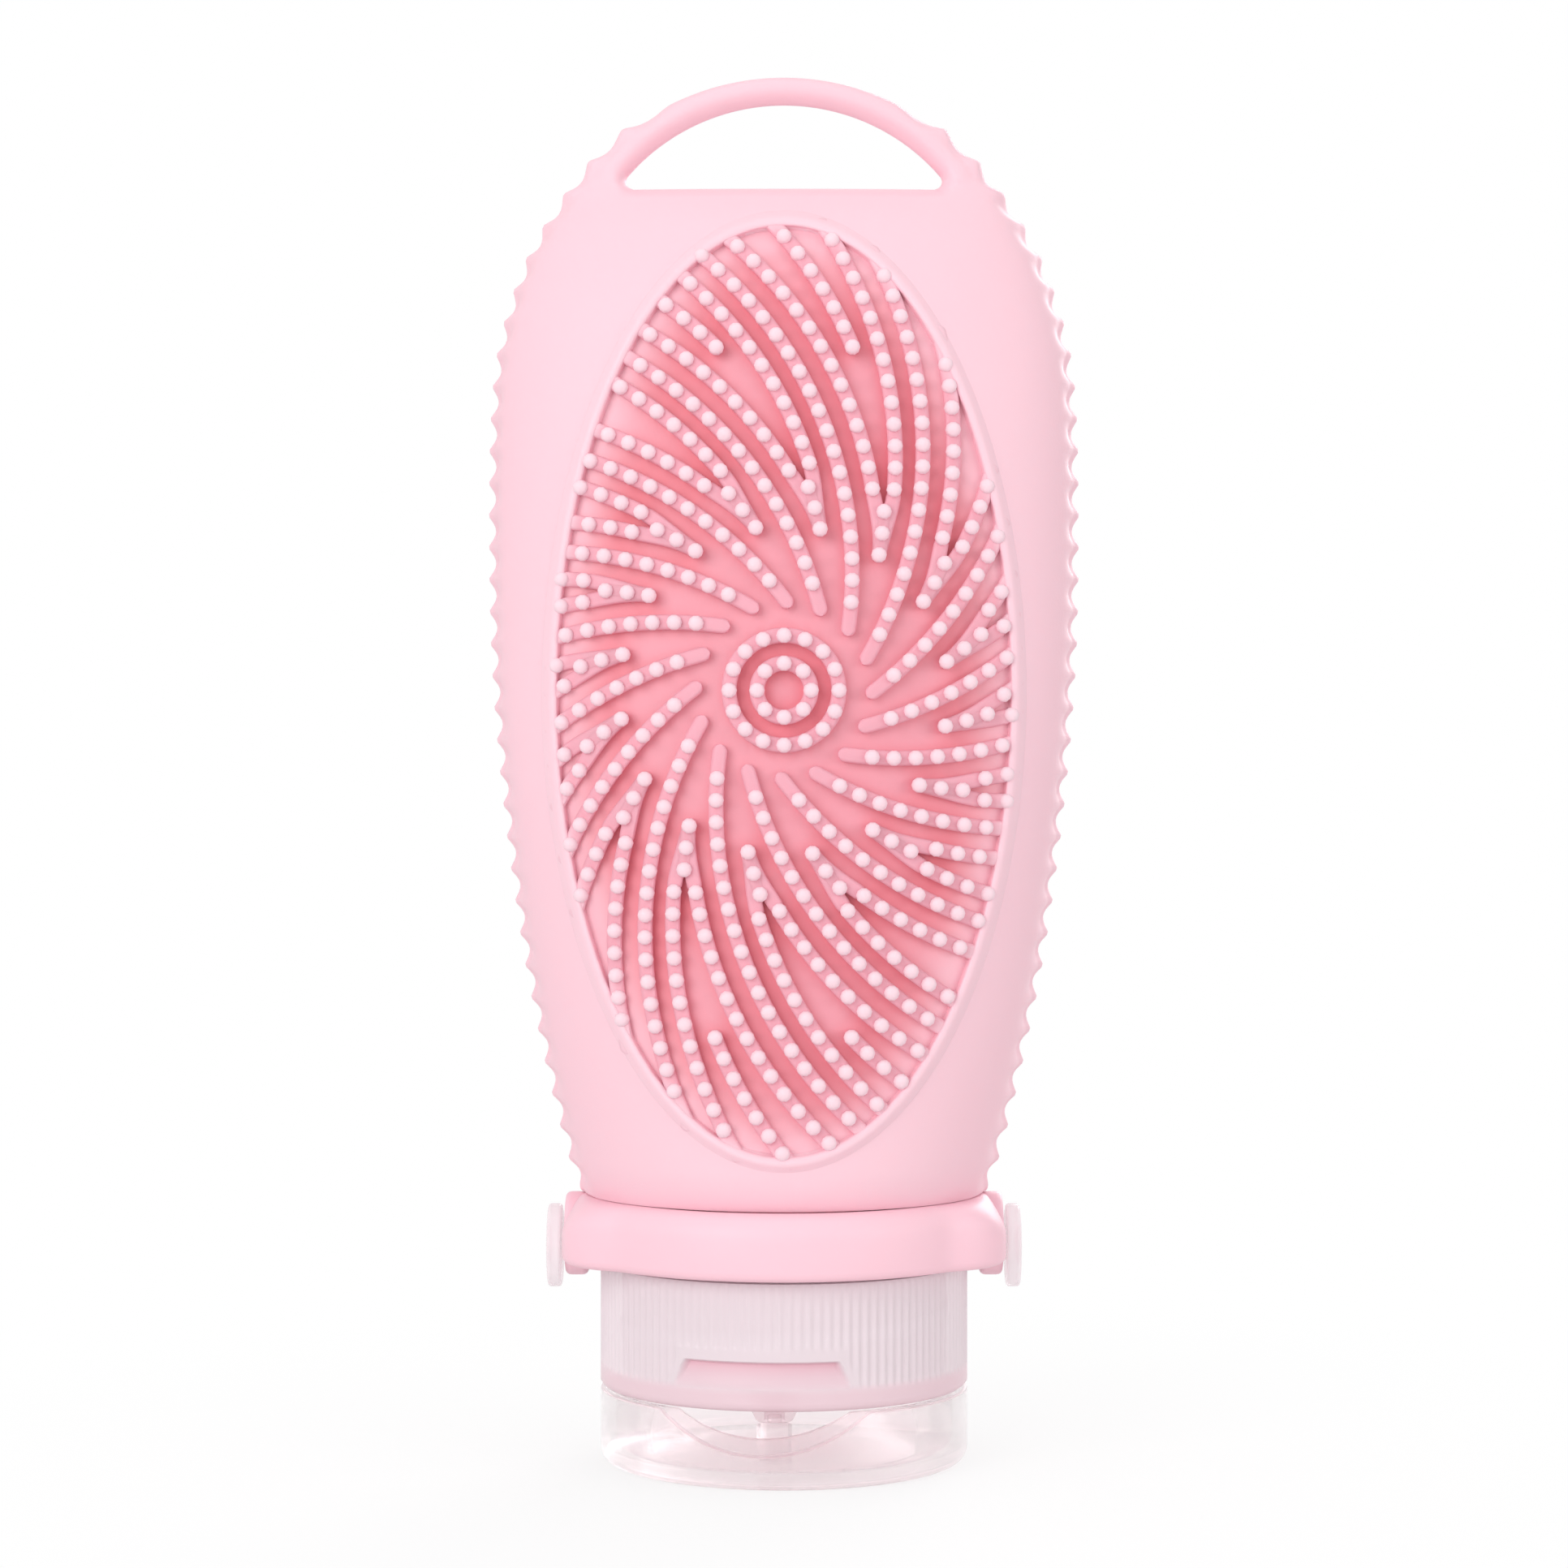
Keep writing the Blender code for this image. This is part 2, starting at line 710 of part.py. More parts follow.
def brush_pad_mesh():
    """The oval backing with its rim, and the ribs with their strands fused to it."""
    bm = bmesh.new()
    floor_inset = pad_rim_width + pad_rim_slope
    loops = [oval_loop(bm, floor_inset, -pad_floor_depth),
             oval_loop(bm, pad_rim_width, pad_rim_height),
             oval_loop(bm, pad_rim_slope, pad_rim_height),
             oval_loop(bm, 0.0, pad_rim_height - pad_rim_slope),
             oval_loop(bm, 0.0, -pad_floor_depth - pad_backing)]
    for low, high in zip(loops, loops[1:]):
        bridge(bm, low, high)
    close_oval(bm, loops[-1], 0.0, -pad_floor_depth - pad_backing)

    ribs = brush_ribs()
    plan = [Vector((v.co.x, v.co.z)) for v in loops[0]]
    owner = [None] * oval_steps
    edges = [(i, (i + 1) % oval_steps) for i in range(oval_steps)]
    rows = []
    for rib in ribs:
        stops = rib.floor_stops()
        sides = {}
        for side in (-1, 1):
            first = len(plan)
            plan += [Vector(rib.places(stop, side)) for stop in stops]
            owner += [rib] * len(stops)
            sides[side] = list(range(first, len(plan)))
            edges += list(zip(sides[side], sides[side][1:]))
            if rib.closed:
                edges.append((sides[side][-1], first))
        if not rib.closed:
            edges += [(sides[-1][0], sides[1][0]), (sides[-1][-1], sides[1][-1])]
        rows.append((rib, stops, sides))

    _, _, triangles, origins, _, _ = delaunay_2d_cdt(plan, edges, [], 0, weld_distance)
    floor = list(loops[0])
    for x, z in plan[oval_steps:]:
        floor.append(bm.verts.new((x, -(front_depth(x, z) - pad_floor_depth), z)))
    for triangle in triangles:
        corners = [origins[i][0] for i in triangle]
        owners = {owner[i] for i in corners}
        rib = owners.pop()
        middle = sum((np.array(plan[i]) for i in corners), np.zeros(2)) / 3
        if not owners and rib and rib.covers(middle):
            continue
        bm.faces.new([floor[i] for i in corners])
    for rib, stops, sides in rows:
        feet = {side: [(stop, floor[i]) for stop, i in zip(stops, sides[side])] for side in (-1, 1)}
        raise_rib(bm, rib, feet)
    return bm


def make_body(materials):
    """The silicone flask with its scalloped edge, hanging loop and brush pad."""
    body = add_piece("silicone_body", flask_mesh(), materials["silicone"])
    combine(body, add_piece("edge_plate_guide", edge_plate_mesh()), "UNION")
    combine(body, add_piece("slot_cutter", slot_cutter_mesh()), "DIFFERENCE")
    combine(body, add_piece("recess_cutter", recess_cutter_mesh()), "DIFFERENCE")
    add_piece("brush_pad", brush_pad_mesh(), materials["bristle"])


def make_neck(materials):
    """The rigid insert that the silicone mouth grips, with the cap's outer thread."""
    bead_radius = neck_outer_radius + neck_bead_depth
    profile = ((neck_bore_radius, neck_bottom), (neck_outer_radius, neck_bottom),
               (neck_outer_radius, flange_bottom), (sleeve_outer_radius, flange_bottom),
               (sleeve_outer_radius, flange_top), (neck_outer_radius, flange_top),
               (neck_outer_radius, neck_bead_bottom), (bead_radius, neck_bead_bottom),
               (bead_radius - neck_bead_slope, neck_top), (neck_bore_radius, neck_top))
    neck = add_piece("neck_insert", turned(profile), materials["frosted"])
    ridge = thread_ridge(neck_outer_radius - thread_sink, neck_outer_radius + thread_depth,
                         neck_bottom + thread_start, 0.0)
    combine(neck, add_piece("neck_thread_guide", ridge), "UNION")


def make_collar(materials):
    """The pink collar round the silicone mouth, with a bored boss at each side."""
    low = collar_bottom
    high = collar_top
    profile = ((collar_bore_radius, low), (collar_radius - collar_round / 2, low),
               (collar_radius, low + collar_round / 2), (collar_radius, high - collar_round),
               (collar_radius - collar_round / 3, high - collar_round / 3),
               (collar_radius - collar_round, high), (collar_bore_radius, high))
    collar = add_piece("neck_collar", turned(profile), materials["collar"])
    for side, name in ((-1.0, "left"), (1.0, "right")):
        boss = turned(((0.0, boss_inner), (boss_radius - boss_round, boss_inner),
                       (boss_radius, boss_inner + boss_round),
                       (boss_radius, boss_outer - boss_round),
                       (boss_radius - boss_round, boss_outer), (0.0, boss_outer)),
                      boss_steps, False)
        combine(collar, sideways(boss, name + "_boss_guide", side, boss_centre), "UNION")
    bore = stud_peg_radius + clearance
    pocket = stud_barb_radius + stud_pocket_margin
    pocket_end = collar_bore_radius + stud_pocket_depth
    for side, name in ((-1.0, "left"), (1.0, "right")):
        cut = turned(((0.0, collar_bore_radius - cut_overrun),
                      (pocket, collar_bore_radius - cut_overrun), (pocket, pocket_end),
                      (bore, pocket_end), (bore, boss_outer + cut_overrun),
                      (0.0, boss_outer + cut_overrun)), small_steps, False)
        combine(collar, sideways(cut, name + "_stud_bore", side, stud_centre), "DIFFERENCE")


def sideways(bm, name, side, height):
    """Turn a piece made along Z so that it points out of the given side at a height."""
    piece = add_piece(name, bm)
    piece.rotation_euler = (0.0, side * math.pi / 2, 0.0)
    piece.location = (0.0, 0.0, height)
    return piece


def make_studs(materials):
    """The clear snap-in stud at each side. Each turns on its own peg."""
    head_start = boss_outer + stud_head_gap
    head_end = head_start + stud_head_thickness
    barb_end = collar_bore_radius + stud_pocket_depth - clearance
    barb_start = barb_end - stud_barb_length
    profile = ((0.0, barb_start - stud_barb_slope), (stud_peg_radius, barb_start - stud_barb_slope),
               (stud_barb_radius, barb_start), (stud_barb_radius, barb_end),
               (stud_peg_radius, barb_end), (stud_peg_radius, head_start),
               (stud_head_radius - stud_head_round, head_start),
               (stud_head_radius, head_start + stud_head_round),
               (stud_head_radius, head_end - stud_head_round),
               (stud_head_radius - stud_head_round, head_end), (0.0, head_end))
    for side, name in ((-1.0, "left"), (1.0, "right")):
        axis = add_empty(name + "_stud_axis", (0.0, 0.0, stud_centre))
        stud = add_piece("side_stud_" + name, turned(profile, boss_steps, False),
                         materials["clear_" + name], axis)
        stud.rotation_euler = (0.0, side * math.pi / 2, 0.0)


def rib_crown_mesh(low, high):
    """The fine upright ribs round the cap base, as one star-shaped band."""
    valley = cap_radius - rib_depth
    peak = cap_radius - rib_depth / 4
    core_radius = valley - 2 * rib_root
    bm = bmesh.new()
    rows = []
    for z in (low, high):
        outer = []
        core = []
        for step in range(2 * rib_count):
            angle = math.pi * step / rib_count
            radius = peak if step % 2 else valley
            outer.append(bm.verts.new((radius * math.cos(angle), radius * math.sin(angle), z)))
            core.append(bm.verts.new((core_radius * math.cos(angle),
                                      core_radius * math.sin(angle), z)))
        rows.append((outer, core))
    bridge(bm, rows[0][0], rows[1][0])
    bridge(bm, rows[0][1], rows[1][1])
    bridge(bm, rows[0][0], rows[0][1])
    bridge(bm, rows[1][0], rows[1][1])
    return bm


def hinge_leaf(low, high):
    """Half of the living hinge, on the back of the cap."""
    return block((-hinge_leaf_width / 2, cap_radius - hinge_leaf_root, low),
                 (hinge_leaf_width / 2, hinge_reach, high))


def make_cap_base(materials, axis):
    """The turning half of the cap: ribbed skirt, inner thread, deck and nozzle."""
    root = cap_radius - rib_depth - rib_root
    band_top = base_bottom + plain_band_height
    profile = ((0.0, deck_top), (cap_inner_radius, deck_top), (cap_inner_radius, base_top),
               (root, base_top), (root, band_top), (cap_radius, band_top),
               (cap_radius, base_bottom), (0.0, base_bottom))
    base = add_piece("cap_base", turned(profile, closed=False), materials["frosted_base"], axis)
    crown = rib_crown_mesh(band_top - rib_depth, base_top - rib_margin)
    combine(base, add_piece("rib_crown_guide", crown, None, axis), "UNION")
    start_turn = -0.75
    half_pitch = thread_pitch / 2
    start = neck_bottom + thread_start + half_pitch + start_turn * thread_pitch
    ridge = thread_ridge(cap_inner_radius + thread_sink, neck_outer_radius + thread_clearance,
                         start, start_turn)
    combine(base, add_piece("cap_thread_guide", ridge, None, axis), "UNION")
    scoop_low = band_top + scoop_rise
    scoop = block((-scoop_width / 2, -cap_radius - cut_overrun, scoop_low),
                  (scoop_width / 2, -cap_radius + scoop_depth, scoop_low + scoop_height))
    combine(base, add_piece("scoop_cutter", scoop, None, axis), "DIFFERENCE")
    leaf = hinge_leaf(base_bottom + hinge_leaf_step, base_bottom + hinge_leaf_height)
    combine(base, add_piece("base_leaf_guide", leaf, None, axis), "UNION")
    centre = (0.0, -nozzle_offset)
    nozzle = cylinder(nozzle_radius, base_bottom - nozzle_length,
                      base_bottom + deck_thickness / 2, centre=centre)
    combine(base, add_piece("nozzle_guide", nozzle, None, axis), "UNION")
    orifice = cylinder(orifice_radius, base_bottom - nozzle_length - cut_overrun,
                       deck_top + cut_overrun, centre=centre)
    combine(base, add_piece("orifice_cutter", orifice, None, axis), "DIFFERENCE")


def make_cap_inside(materials, axis):
    """Seal ring, slit valve and its retainer, stacked on the cap's deck."""
    seal_inner = retainer_outer_radius + clearance
    seal_outer = neck_outer_radius + seal_overhang
    seal = turned(((seal_inner, seal_bottom), (seal_outer, seal_bottom),
                   (seal_outer, seal_bottom + seal_thickness),
                   (seal_inner, seal_bottom + seal_thickness)))
    add_piece("seal_ring", seal, materials["seal"])

    rim_top = seal_bottom + valve_rim_height
    inside = valve_radius - valve_rim_width
    membrane_top = rim_top - valve_membrane_drop
    membrane_low = membrane_top - valve_membrane
    valve = turned(((0.0, membrane_low), (inside, membrane_low), (inside, seal_bottom),
                    (valve_radius, seal_bottom), (valve_radius, rim_top), (inside, rim_top),
                    (inside - valve_membrane_drop, membrane_top), (0.0, membrane_top)),
                   closed=False)
    piece = add_piece("dosing_valve", valve, materials["valve"], axis)
    low = membrane_low - cut_overrun / 2
    high = rim_top + cut_overrun
    for name, x, y in (("slit_cutter_across", slit_length, slit_width),
                       ("slit_cutter_along", slit_width, slit_length)):
        slit = block((-x / 2, -y / 2, low), (x / 2, y / 2, high))
        combine(piece, add_piece(name, slit, None, axis), "DIFFERENCE")

    lip_low = rim_top + clearance
    lip_top = lip_low + retainer_lip_height
    inner = valve_radius + clearance
    lip_inner = inner - retainer_lip_width
    retainer = turned(((inner, seal_bottom), (retainer_outer_radius, seal_bottom),
                       (retainer_outer_radius, lip_top), (lip_inner, lip_top),
                       (lip_inner, lip_low), (inner, lip_low)))
    add_piece("valve_retainer", retainer, materials["retainer"], axis)


def make_lid(materials, cap_axis):
    """The clear flip lid: cup, thumb notch, plug for the nozzle and its hinge leaf."""
    pivot = (0.0, pivot_reach, pivot_height)
    axis = add_empty("lid_hinge_axis", pivot, cap_axis)
    back = tuple(-value for value in pivot)
    inside = cap_radius - lid_wall
    corner = lid_fillet * (1 - math.sqrt(0.5))
    profile = ((0.0, 0.0), (cap_radius - lid_fillet, 0.0), (cap_radius - corner, corner),
               (cap_radius, lid_fillet), (cap_radius, lid_height), (inside, lid_height),
               (inside, lid_floor), (0.0, lid_floor))
    lid = add_piece("cap_lid", turned(profile, closed=False), materials["clear_lid"], axis, back)
    half = notch_width / 2
    notch_radius = (half ** 2 + notch_depth ** 2) / (2 * notch_depth)
    notch_centre = lid_height - notch_depth + notch_radius
    notch = cylinder(notch_radius, inside - half, cap_radius + cut_overrun, 2 * ring_steps)
    bmesh.ops.rotate(notch, verts=notch.verts, cent=(0.0, 0.0, 0.0),
                     matrix=Matrix.Rotation(math.pi / 2, 3, "X"))
    bmesh.ops.translate(notch, verts=notch.verts, vec=(0.0, 0.0, notch_centre))
    combine(lid, add_piece("notch_cutter", notch, None, axis, back), "DIFFERENCE")
    nozzle_tip = base_bottom - nozzle_length
    plug_top = nozzle_tip - clearance
    plug_tip_radius = orifice_radius - plug_tip_gap
    profile = ((0.0, lid_floor / 2), (plug_radius, lid_floor / 2), (plug_radius, plug_top),
               (plug_tip_radius, plug_top), (plug_tip_radius, nozzle_tip + plug_tip_length),
               (0.0, nozzle_tip + plug_tip_length))
    plug = turned(profile, small_steps, False)
    bmesh.ops.translate(plug, verts=plug.verts, vec=(0.0, -nozzle_offset, 0.0))
    combine(lid, add_piece("plug_guide", plug, None, axis, back), "UNION")
    leaf = hinge_leaf(lid_height - hinge_leaf_height, lid_height - hinge_leaf_step)
    combine(lid, add_piece("lid_leaf_guide", leaf, None, axis, back), "UNION")


def make_materials():
    """The colours of the pieces: pink silicone, and clear or frosted plastic."""
    pink = srgb(253, 211, 224)
    frosted = srgb(243, 222, 229)
    return {
        "silicone": make_material("pink_silicone", pink, 0.55),
        "bristle": make_material("pink_bristles", srgb(240, 170, 184), 0.50),
        "collar": make_material("pink_collar", pink, 0.40),
        "valve": make_material("pink_valve", srgb(245, 190, 204), 0.50),
        "seal": make_material("white_seal", srgb(240, 235, 236), 0.60),
        "frosted": make_material("frosted_neck", frosted, 0.45, 0.60),
        "frosted_base": make_material("frosted_cap", frosted, 0.40, 0.50),
        "retainer": make_material("frosted_retainer", frosted, 0.45, 0.60),
        "clear_lid": make_material("clear_lid_plastic", frosted, 0.25, 0.40),
        "clear_left": make_material("clear_stud_left", frosted, 0.25, 0.50),
        "clear_right": make_material("clear_stud_right", frosted, 0.25, 0.50),
    }


def main():
    """Clear the scene and make every piece."""
    for old in list(bpy.data.objects):
        bpy.data.objects.remove(old, do_unlink=True)
    materials = make_materials()
    make_body(materials)
    make_neck(materials)
    make_collar(materials)
    make_studs(materials)
    cap_axis = add_empty("cap_turn_axis", (0.0, 0.0, 0.0), yaw=cap_yaw)
    make_cap_base(materials, cap_axis)
    make_cap_inside(materials, cap_axis)
    make_lid(materials, cap_axis)


main()
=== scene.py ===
import math

import bmesh
import bpy
import numpy as np
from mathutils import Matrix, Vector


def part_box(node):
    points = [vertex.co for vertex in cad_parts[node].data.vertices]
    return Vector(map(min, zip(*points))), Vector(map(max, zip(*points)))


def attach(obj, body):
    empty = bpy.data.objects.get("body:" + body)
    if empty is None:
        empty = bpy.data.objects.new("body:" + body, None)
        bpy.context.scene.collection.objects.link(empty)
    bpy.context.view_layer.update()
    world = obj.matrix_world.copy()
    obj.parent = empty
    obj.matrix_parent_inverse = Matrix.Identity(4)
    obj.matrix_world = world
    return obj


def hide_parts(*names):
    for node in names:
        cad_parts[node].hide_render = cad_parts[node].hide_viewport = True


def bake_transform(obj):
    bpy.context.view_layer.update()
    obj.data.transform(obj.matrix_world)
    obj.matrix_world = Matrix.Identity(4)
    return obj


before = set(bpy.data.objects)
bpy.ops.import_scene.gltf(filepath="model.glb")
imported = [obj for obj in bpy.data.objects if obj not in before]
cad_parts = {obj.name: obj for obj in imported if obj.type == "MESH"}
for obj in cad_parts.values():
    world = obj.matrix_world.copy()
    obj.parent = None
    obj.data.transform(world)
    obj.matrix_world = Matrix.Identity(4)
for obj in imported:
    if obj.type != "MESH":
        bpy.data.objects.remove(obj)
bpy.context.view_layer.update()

bl_info = {
    "name": "Silicone dispenser bottle",
    "version": (1, 0, 0),
    "blender": (4, 5, 0),
    "location": "3D View > Sidebar > Bottle",
    "description": "Builds a squeeze bottle with a brush pad, a collar and a flip cap",
    "category": "Add Mesh",
}

# Places and sizes that come from the frame, in metres
body_low, body_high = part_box("silicone_body")
collar_low, collar_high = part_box("neck_collar")
base_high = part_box("cap_base")[1]
lid_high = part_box("cap_lid")[1]
neck_low, neck_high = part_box("neck_insert")
seal_low, seal_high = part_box("seal_ring")
valve_low, valve_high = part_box("dosing_valve")
retainer_low, retainer_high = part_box("valve_retainer")
stud_low, stud_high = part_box("side_stud_right")

# Sizes that several pieces share
gap = 0.0003
body_top = body_high[2]
body_bottom = collar_high[2] + gap
skin_bottom = collar_high[2] + 0.00005
body_height = body_top - body_bottom
body_half_width = body_high[0]
body_half_depth = 0.0198
collar_radius = -collar_low[1]
neck_bore = 0.0137
neck_radius = 0.0160
sleeve_radius = 0.0189
thread_pitch = 0.0040
thread_turns = 1.25
base_bottom = lid_high[2] + gap
cap_radius = 0.0199
cap_yaw = math.radians(-7.3)
nozzle_place = (0.0, -0.0080)
nozzle_tip = base_bottom - 0.0030
weld_distance = 0.000002

# Where the photograph was taken from, and the plane on which the brush pattern is laid out
view_distance = 0.388
view_lens = 81.9
view_height = 0.0732
brush_centre = 0.08342
oval_centre = 0.08324
oval_half_width = 0.02649
oval_half_height = 0.05248

# Half width over the tips of the scallops, from the bottom of the flask upwards: share of the
# flask's height, share of its half width
outline_shares = np.array((
    (0.000, 0.698), (0.028, 0.730), (0.084, 0.785), (0.143, 0.834), (0.200, 0.876),
    (0.258, 0.910), (0.314, 0.938), (0.372, 0.962), (0.429, 0.981), (0.489, 0.994),
    (0.574, 1.000), (0.632, 1.000), (0.690, 0.995), (0.748, 0.976), (0.806, 0.920),
    (0.837, 0.875), (0.865, 0.820), (0.896, 0.744), (0.926, 0.650), (0.953, 0.546),
))

# Section of the flask at each station: share of its height, share of its half depth, and how full
# the section is, where 1 is an ellipse and less is fuller
section_shares = np.array((
    (0.000, 1.045, 1.00), (0.027, 1.034, 0.98), (0.057, 1.020, 0.96), (0.143, 0.999, 0.90),
    (0.260, 0.975, 0.84), (0.376, 0.960, 0.80), (0.504, 0.920, 0.78), (0.620, 0.860, 0.78),
    (0.719, 0.775, 0.80), (0.805, 0.640, 0.82), (0.864, 0.430, 0.86), (0.899, 0.215, 0.90),
    (0.935, 0.082, 1.00), (0.954, 0.040, 1.00), (0.971, 0.000, 1.00), (1.000, 0.000, 1.00),
))

# Arms of the brush, from the middle outwards, one row for each kind: where it starts, how far on
# its first nub stands and how far back its rib begins, as shares of the turn radius, then its
# polar angle and its heading in degrees, and the most nubs that it carries
arm_kinds = (
    (0.2036, 0.0842, 0.000, -4.5, 36.2, 60),
    (0.4050, 0.0000, 0.019, 10.0, 35.5, 3),
    (0.5386, 0.0000, 0.010, 21.4, 54.5, 60),
    (0.5604, 0.0000, 0.010, 16.3, 41.0, 60),
    (0.8574, 0.0000, 0.019, 33.9, 68.0, 60),
)
arm_count = 16
ring_nubs = (8, 16)


def shade(red, green, blue):
    """A colour given in 0 to 255, as the linear values that Blender works in."""
    values = np.array((red, green, blue)) / 255.0
    return tuple(np.where(values <= 0.04045, values / 12.92, ((values + 0.055) / 1.055) ** 2.4))


def length(label, words, value):
    """A length property in metres."""
    return bpy.props.FloatProperty(name=label, description=words, default=value, min=0.0,
                                   precision=5, unit="LENGTH")


def colour(label, words, value):
    """A colour property in linear values."""
    return bpy.props.FloatVectorProperty(name=label, description=words, default=value, size=3,
                                         min=0.0, max=1.0, subtype="COLOR")


class BottleSizes(bpy.types.PropertyGroup):
    """Sizes of the bottle's details."""
    scallop_pitch: length("Scallop pitch", "Height from one scallop's tip to the next", 0.003494)
    scallop_depth: length("Scallop depth", "How far a scallop cuts into the edge", 0.0008)
    scallop_reach: length("Scallop reach", "How far from the edge a scallop is felt", 0.0024)
    edge_depth: length("Edge depth", "Width of the thin edge outside the flask", 0.0006)
    edge_thickness: length("Edge thickness", "Thickness of the scalloped edge", 0.0026)
    loop_radius: length("Loop radius", "Outer radius of the hanging loop", 0.0278)
    loop_thickness: length("Loop thickness", "Thickness of the hanging loop", 0.0032)
    slot_height: length("Slot height", "Height of the slot's flat floor over the ground", 0.1378)
    slot_radius: length("Slot radius", "Radius of the slot's arc", 0.02248)
    slot_top: length("Slot top", "Height of the top of the slot over the ground", 0.1470)
    foot_inset: length("Foot inset", "How far the flask is drawn in at its foot", 0.0013)
    foot_height: length("Foot height", "Height over which it is drawn in", 0.0042)
    slot_corner: length("Slot corner", "Radius of the slot's lower corners", 0.0009)
    slot_round: length("Slot rounding", "Rounding of the slot's edge", 0.0016)
    rim_width: length("Rim width", "Width of the raised rim round the brush", 0.0018)
    rim_height: length("Rim height", "Height of that rim over the flask", 0.0006)
    floor_depth: length("Floor depth", "Depth of the brush's floor below the flask", 0.0014)
    rib_width: length("Rib width", "Width of a brush rib", 0.00165)
    rib_height: length("Rib height", "Height of a brush rib over the floor", 0.0013)
    nub_radius: length("Nub radius", "Radius of a nub", 0.00082)
    nub_height: length("Nub height", "Height of a nub over its rib", 0.0010)
    nub_pitch: length("Nub pitch", "Distance from nub to nub along an arm", 0.002379)
    turn_radius: length("Turn radius", "Radius of the arms' bend", 0.04449)
    inner_ring: length("Inner ring", "Radius of the inner ring of nubs", 0.00295)
    outer_ring: length("Outer ring", "Radius of the outer ring of nubs", 0.00599)
    rib_depth: length("Grip depth", "Depth of the fine ribs round the cap", 0.00020)
    lid_wall: length("Lid wall", "Wall of the flip lid", 0.0016)
    notch_depth: length("Notch depth", "Depth of the thumb notch in the lid", 0.0043)
    notch_slope: length("Notch slope", "How much higher the notch is inside than outside", 0.0017)
    notch_width: length("Notch width", "Width of the thumb notch in the lid", 0.0222)
    grip_ribs: bpy.props.IntProperty(name="Grip ribs", description="Fine ribs round the cap",
                                     default=120, min=12, max=200)


class BottleColours(bpy.types.PropertyGroup):
    """Colours of the bottle's materials."""
    silicone: colour("Silicone", "Skin of the flask", shade(249, 206, 217))
    silicone_warm: colour("Silicone shade", "Faint mottling of the flask", shade(248, 204, 215))
    # Groove and open floor are darker than the flask's silicone: painted shade on the brush's
    # floor, deepest in the groove colour where the nubs stand close.
    groove: colour("Groove", "Floor of the brush between close ribs", shade(236, 122, 134))
    open_floor: colour("Open floor", "Floor of the brush where it is open", shade(239, 162, 175))
    # The rib colour is darker than the nubs' and the flask's: painted shade between the nubs.
    rib: colour("Rib", "Ribs of the brush", shade(240, 173, 187))
    nub: colour("Nub", "Nubs of the brush", shade(250, 217, 226))
    collar: colour("Collar", "Collar round the neck", shade(252, 206, 218))
    frosted: colour("Frosted", "Frosted plastic of the cap", shade(255, 243, 248))
    stud: colour("Stud", "Milky clear plastic of the studs", shade(255, 240, 246))
    clear: colour("Clear", "Clear plastic of the lid", shade(255, 246, 248))
    valve: colour("Valve", "Silicone of the dosing valve", shade(251, 204, 216))
    seal: colour("Seal", "Rubber of the seal", shade(250, 240, 243))
    # Painted pink: the colour of the pink parts seen in the plastic, painted onto its surface.
    painted_seen_pink: colour("Blush", "Plastic that shows the pink parts behind it", shade(254, 196, 211))
    rim: colour("Rim", "Rim round the brush", shade(249, 206, 217))


# Meshes

def grid_faces(rows, columns, around=False):
    """Quads of a grid of points stored row by row. Around joins the last column to the first."""
    i, j = np.meshgrid(np.arange(rows - 1), np.arange(columns if around else columns - 1),
                       indexing="ij")
    k = (j + 1) % columns
    corners = (i * columns + j, i * columns + k, (i + 1) * columns + k, (i + 1) * columns + j)
    return np.stack(corners, -1).reshape(-1, 4)


def join_grids(parts):
    """Put several (points, faces) pairs into one pair."""
    points = []
    faces = []
    count = 0
    for part_points, part_faces in parts:
        flat = part_points.reshape(-1, 3)
        points.append(flat)
        faces.append(part_faces + count)
        count += len(flat)
    return np.concatenate(points), np.concatenate(faces)


def add_object(name, data):
    """A new object in the scene."""
    item = bpy.data.objects.new(name, data)
    bpy.context.scene.collection.objects.link(item)
    return item


def make_piece(name, points, faces, material, sharp_degrees=35.0, values=None):
    """One mesh object at the origin. Doubled points are welded, which closes seams and poles,
    and the faces are turned outwards. Values are the piece's own attributes."""
    mesh = bpy.data.meshes.new(name)
    mesh.from_pydata(points.reshape(-1, 3).tolist(), [], faces.tolist())
    for label, numbers in (values or {}).items():
        layer = mesh.attributes.new(label, "FLOAT", "POINT")
        layer.data.foreach_set("value", np.asarray(numbers, np.float32))
    bm = bmesh.new()
    bm.from_mesh(mesh)
    bmesh.ops.remove_doubles(bm, verts=bm.verts, dist=weld_distance)
    bmesh.ops.recalc_face_normals(bm, faces=bm.faces)
    bm.to_mesh(mesh)
    bm.free()
    mesh.shade_smooth()
    mesh.set_sharp_from_angle(angle=math.radians(sharp_degrees))
    mesh.materials.append(material)
    return add_object(name, mesh)


def settle(piece, body, node):
    """Make a piece ride on its body and stand for its CAD node, whose mesh is hidden."""
    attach(piece, body)
    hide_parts(node)


def full_turn(steps):
    """Angles that go once round in equal steps."""
    return 2 * math.pi * np.arange(steps) / steps


def quarter_turn(steps):
    """Angles from 0 to a right angle in equal steps."""
    return np.linspace(0.0, math.pi / 2, steps)


def stacked(*columns):
    """Put coordinates together as points, each spread over the shape that they share."""
    return np.stack(np.broadcast_arrays(*columns), -1)


def circled(radius, angle, height):
    """Points at a radius from Z, an angle round it and a height."""
    return stacked(radius * np.cos(angle), radius * np.sin(angle), height)


def turned(profile, steps, centre=(0.0, 0.0)):
    """A surface of revolution: each point (radius, height) of the profile goes once round Z."""
    radius, height = np.array(profile, float).T[:, :, None]
    points = circled(radius, full_turn(steps), height) + (*centre, 0.0)
    return points, grid_faces(len(radius), steps, around=True)


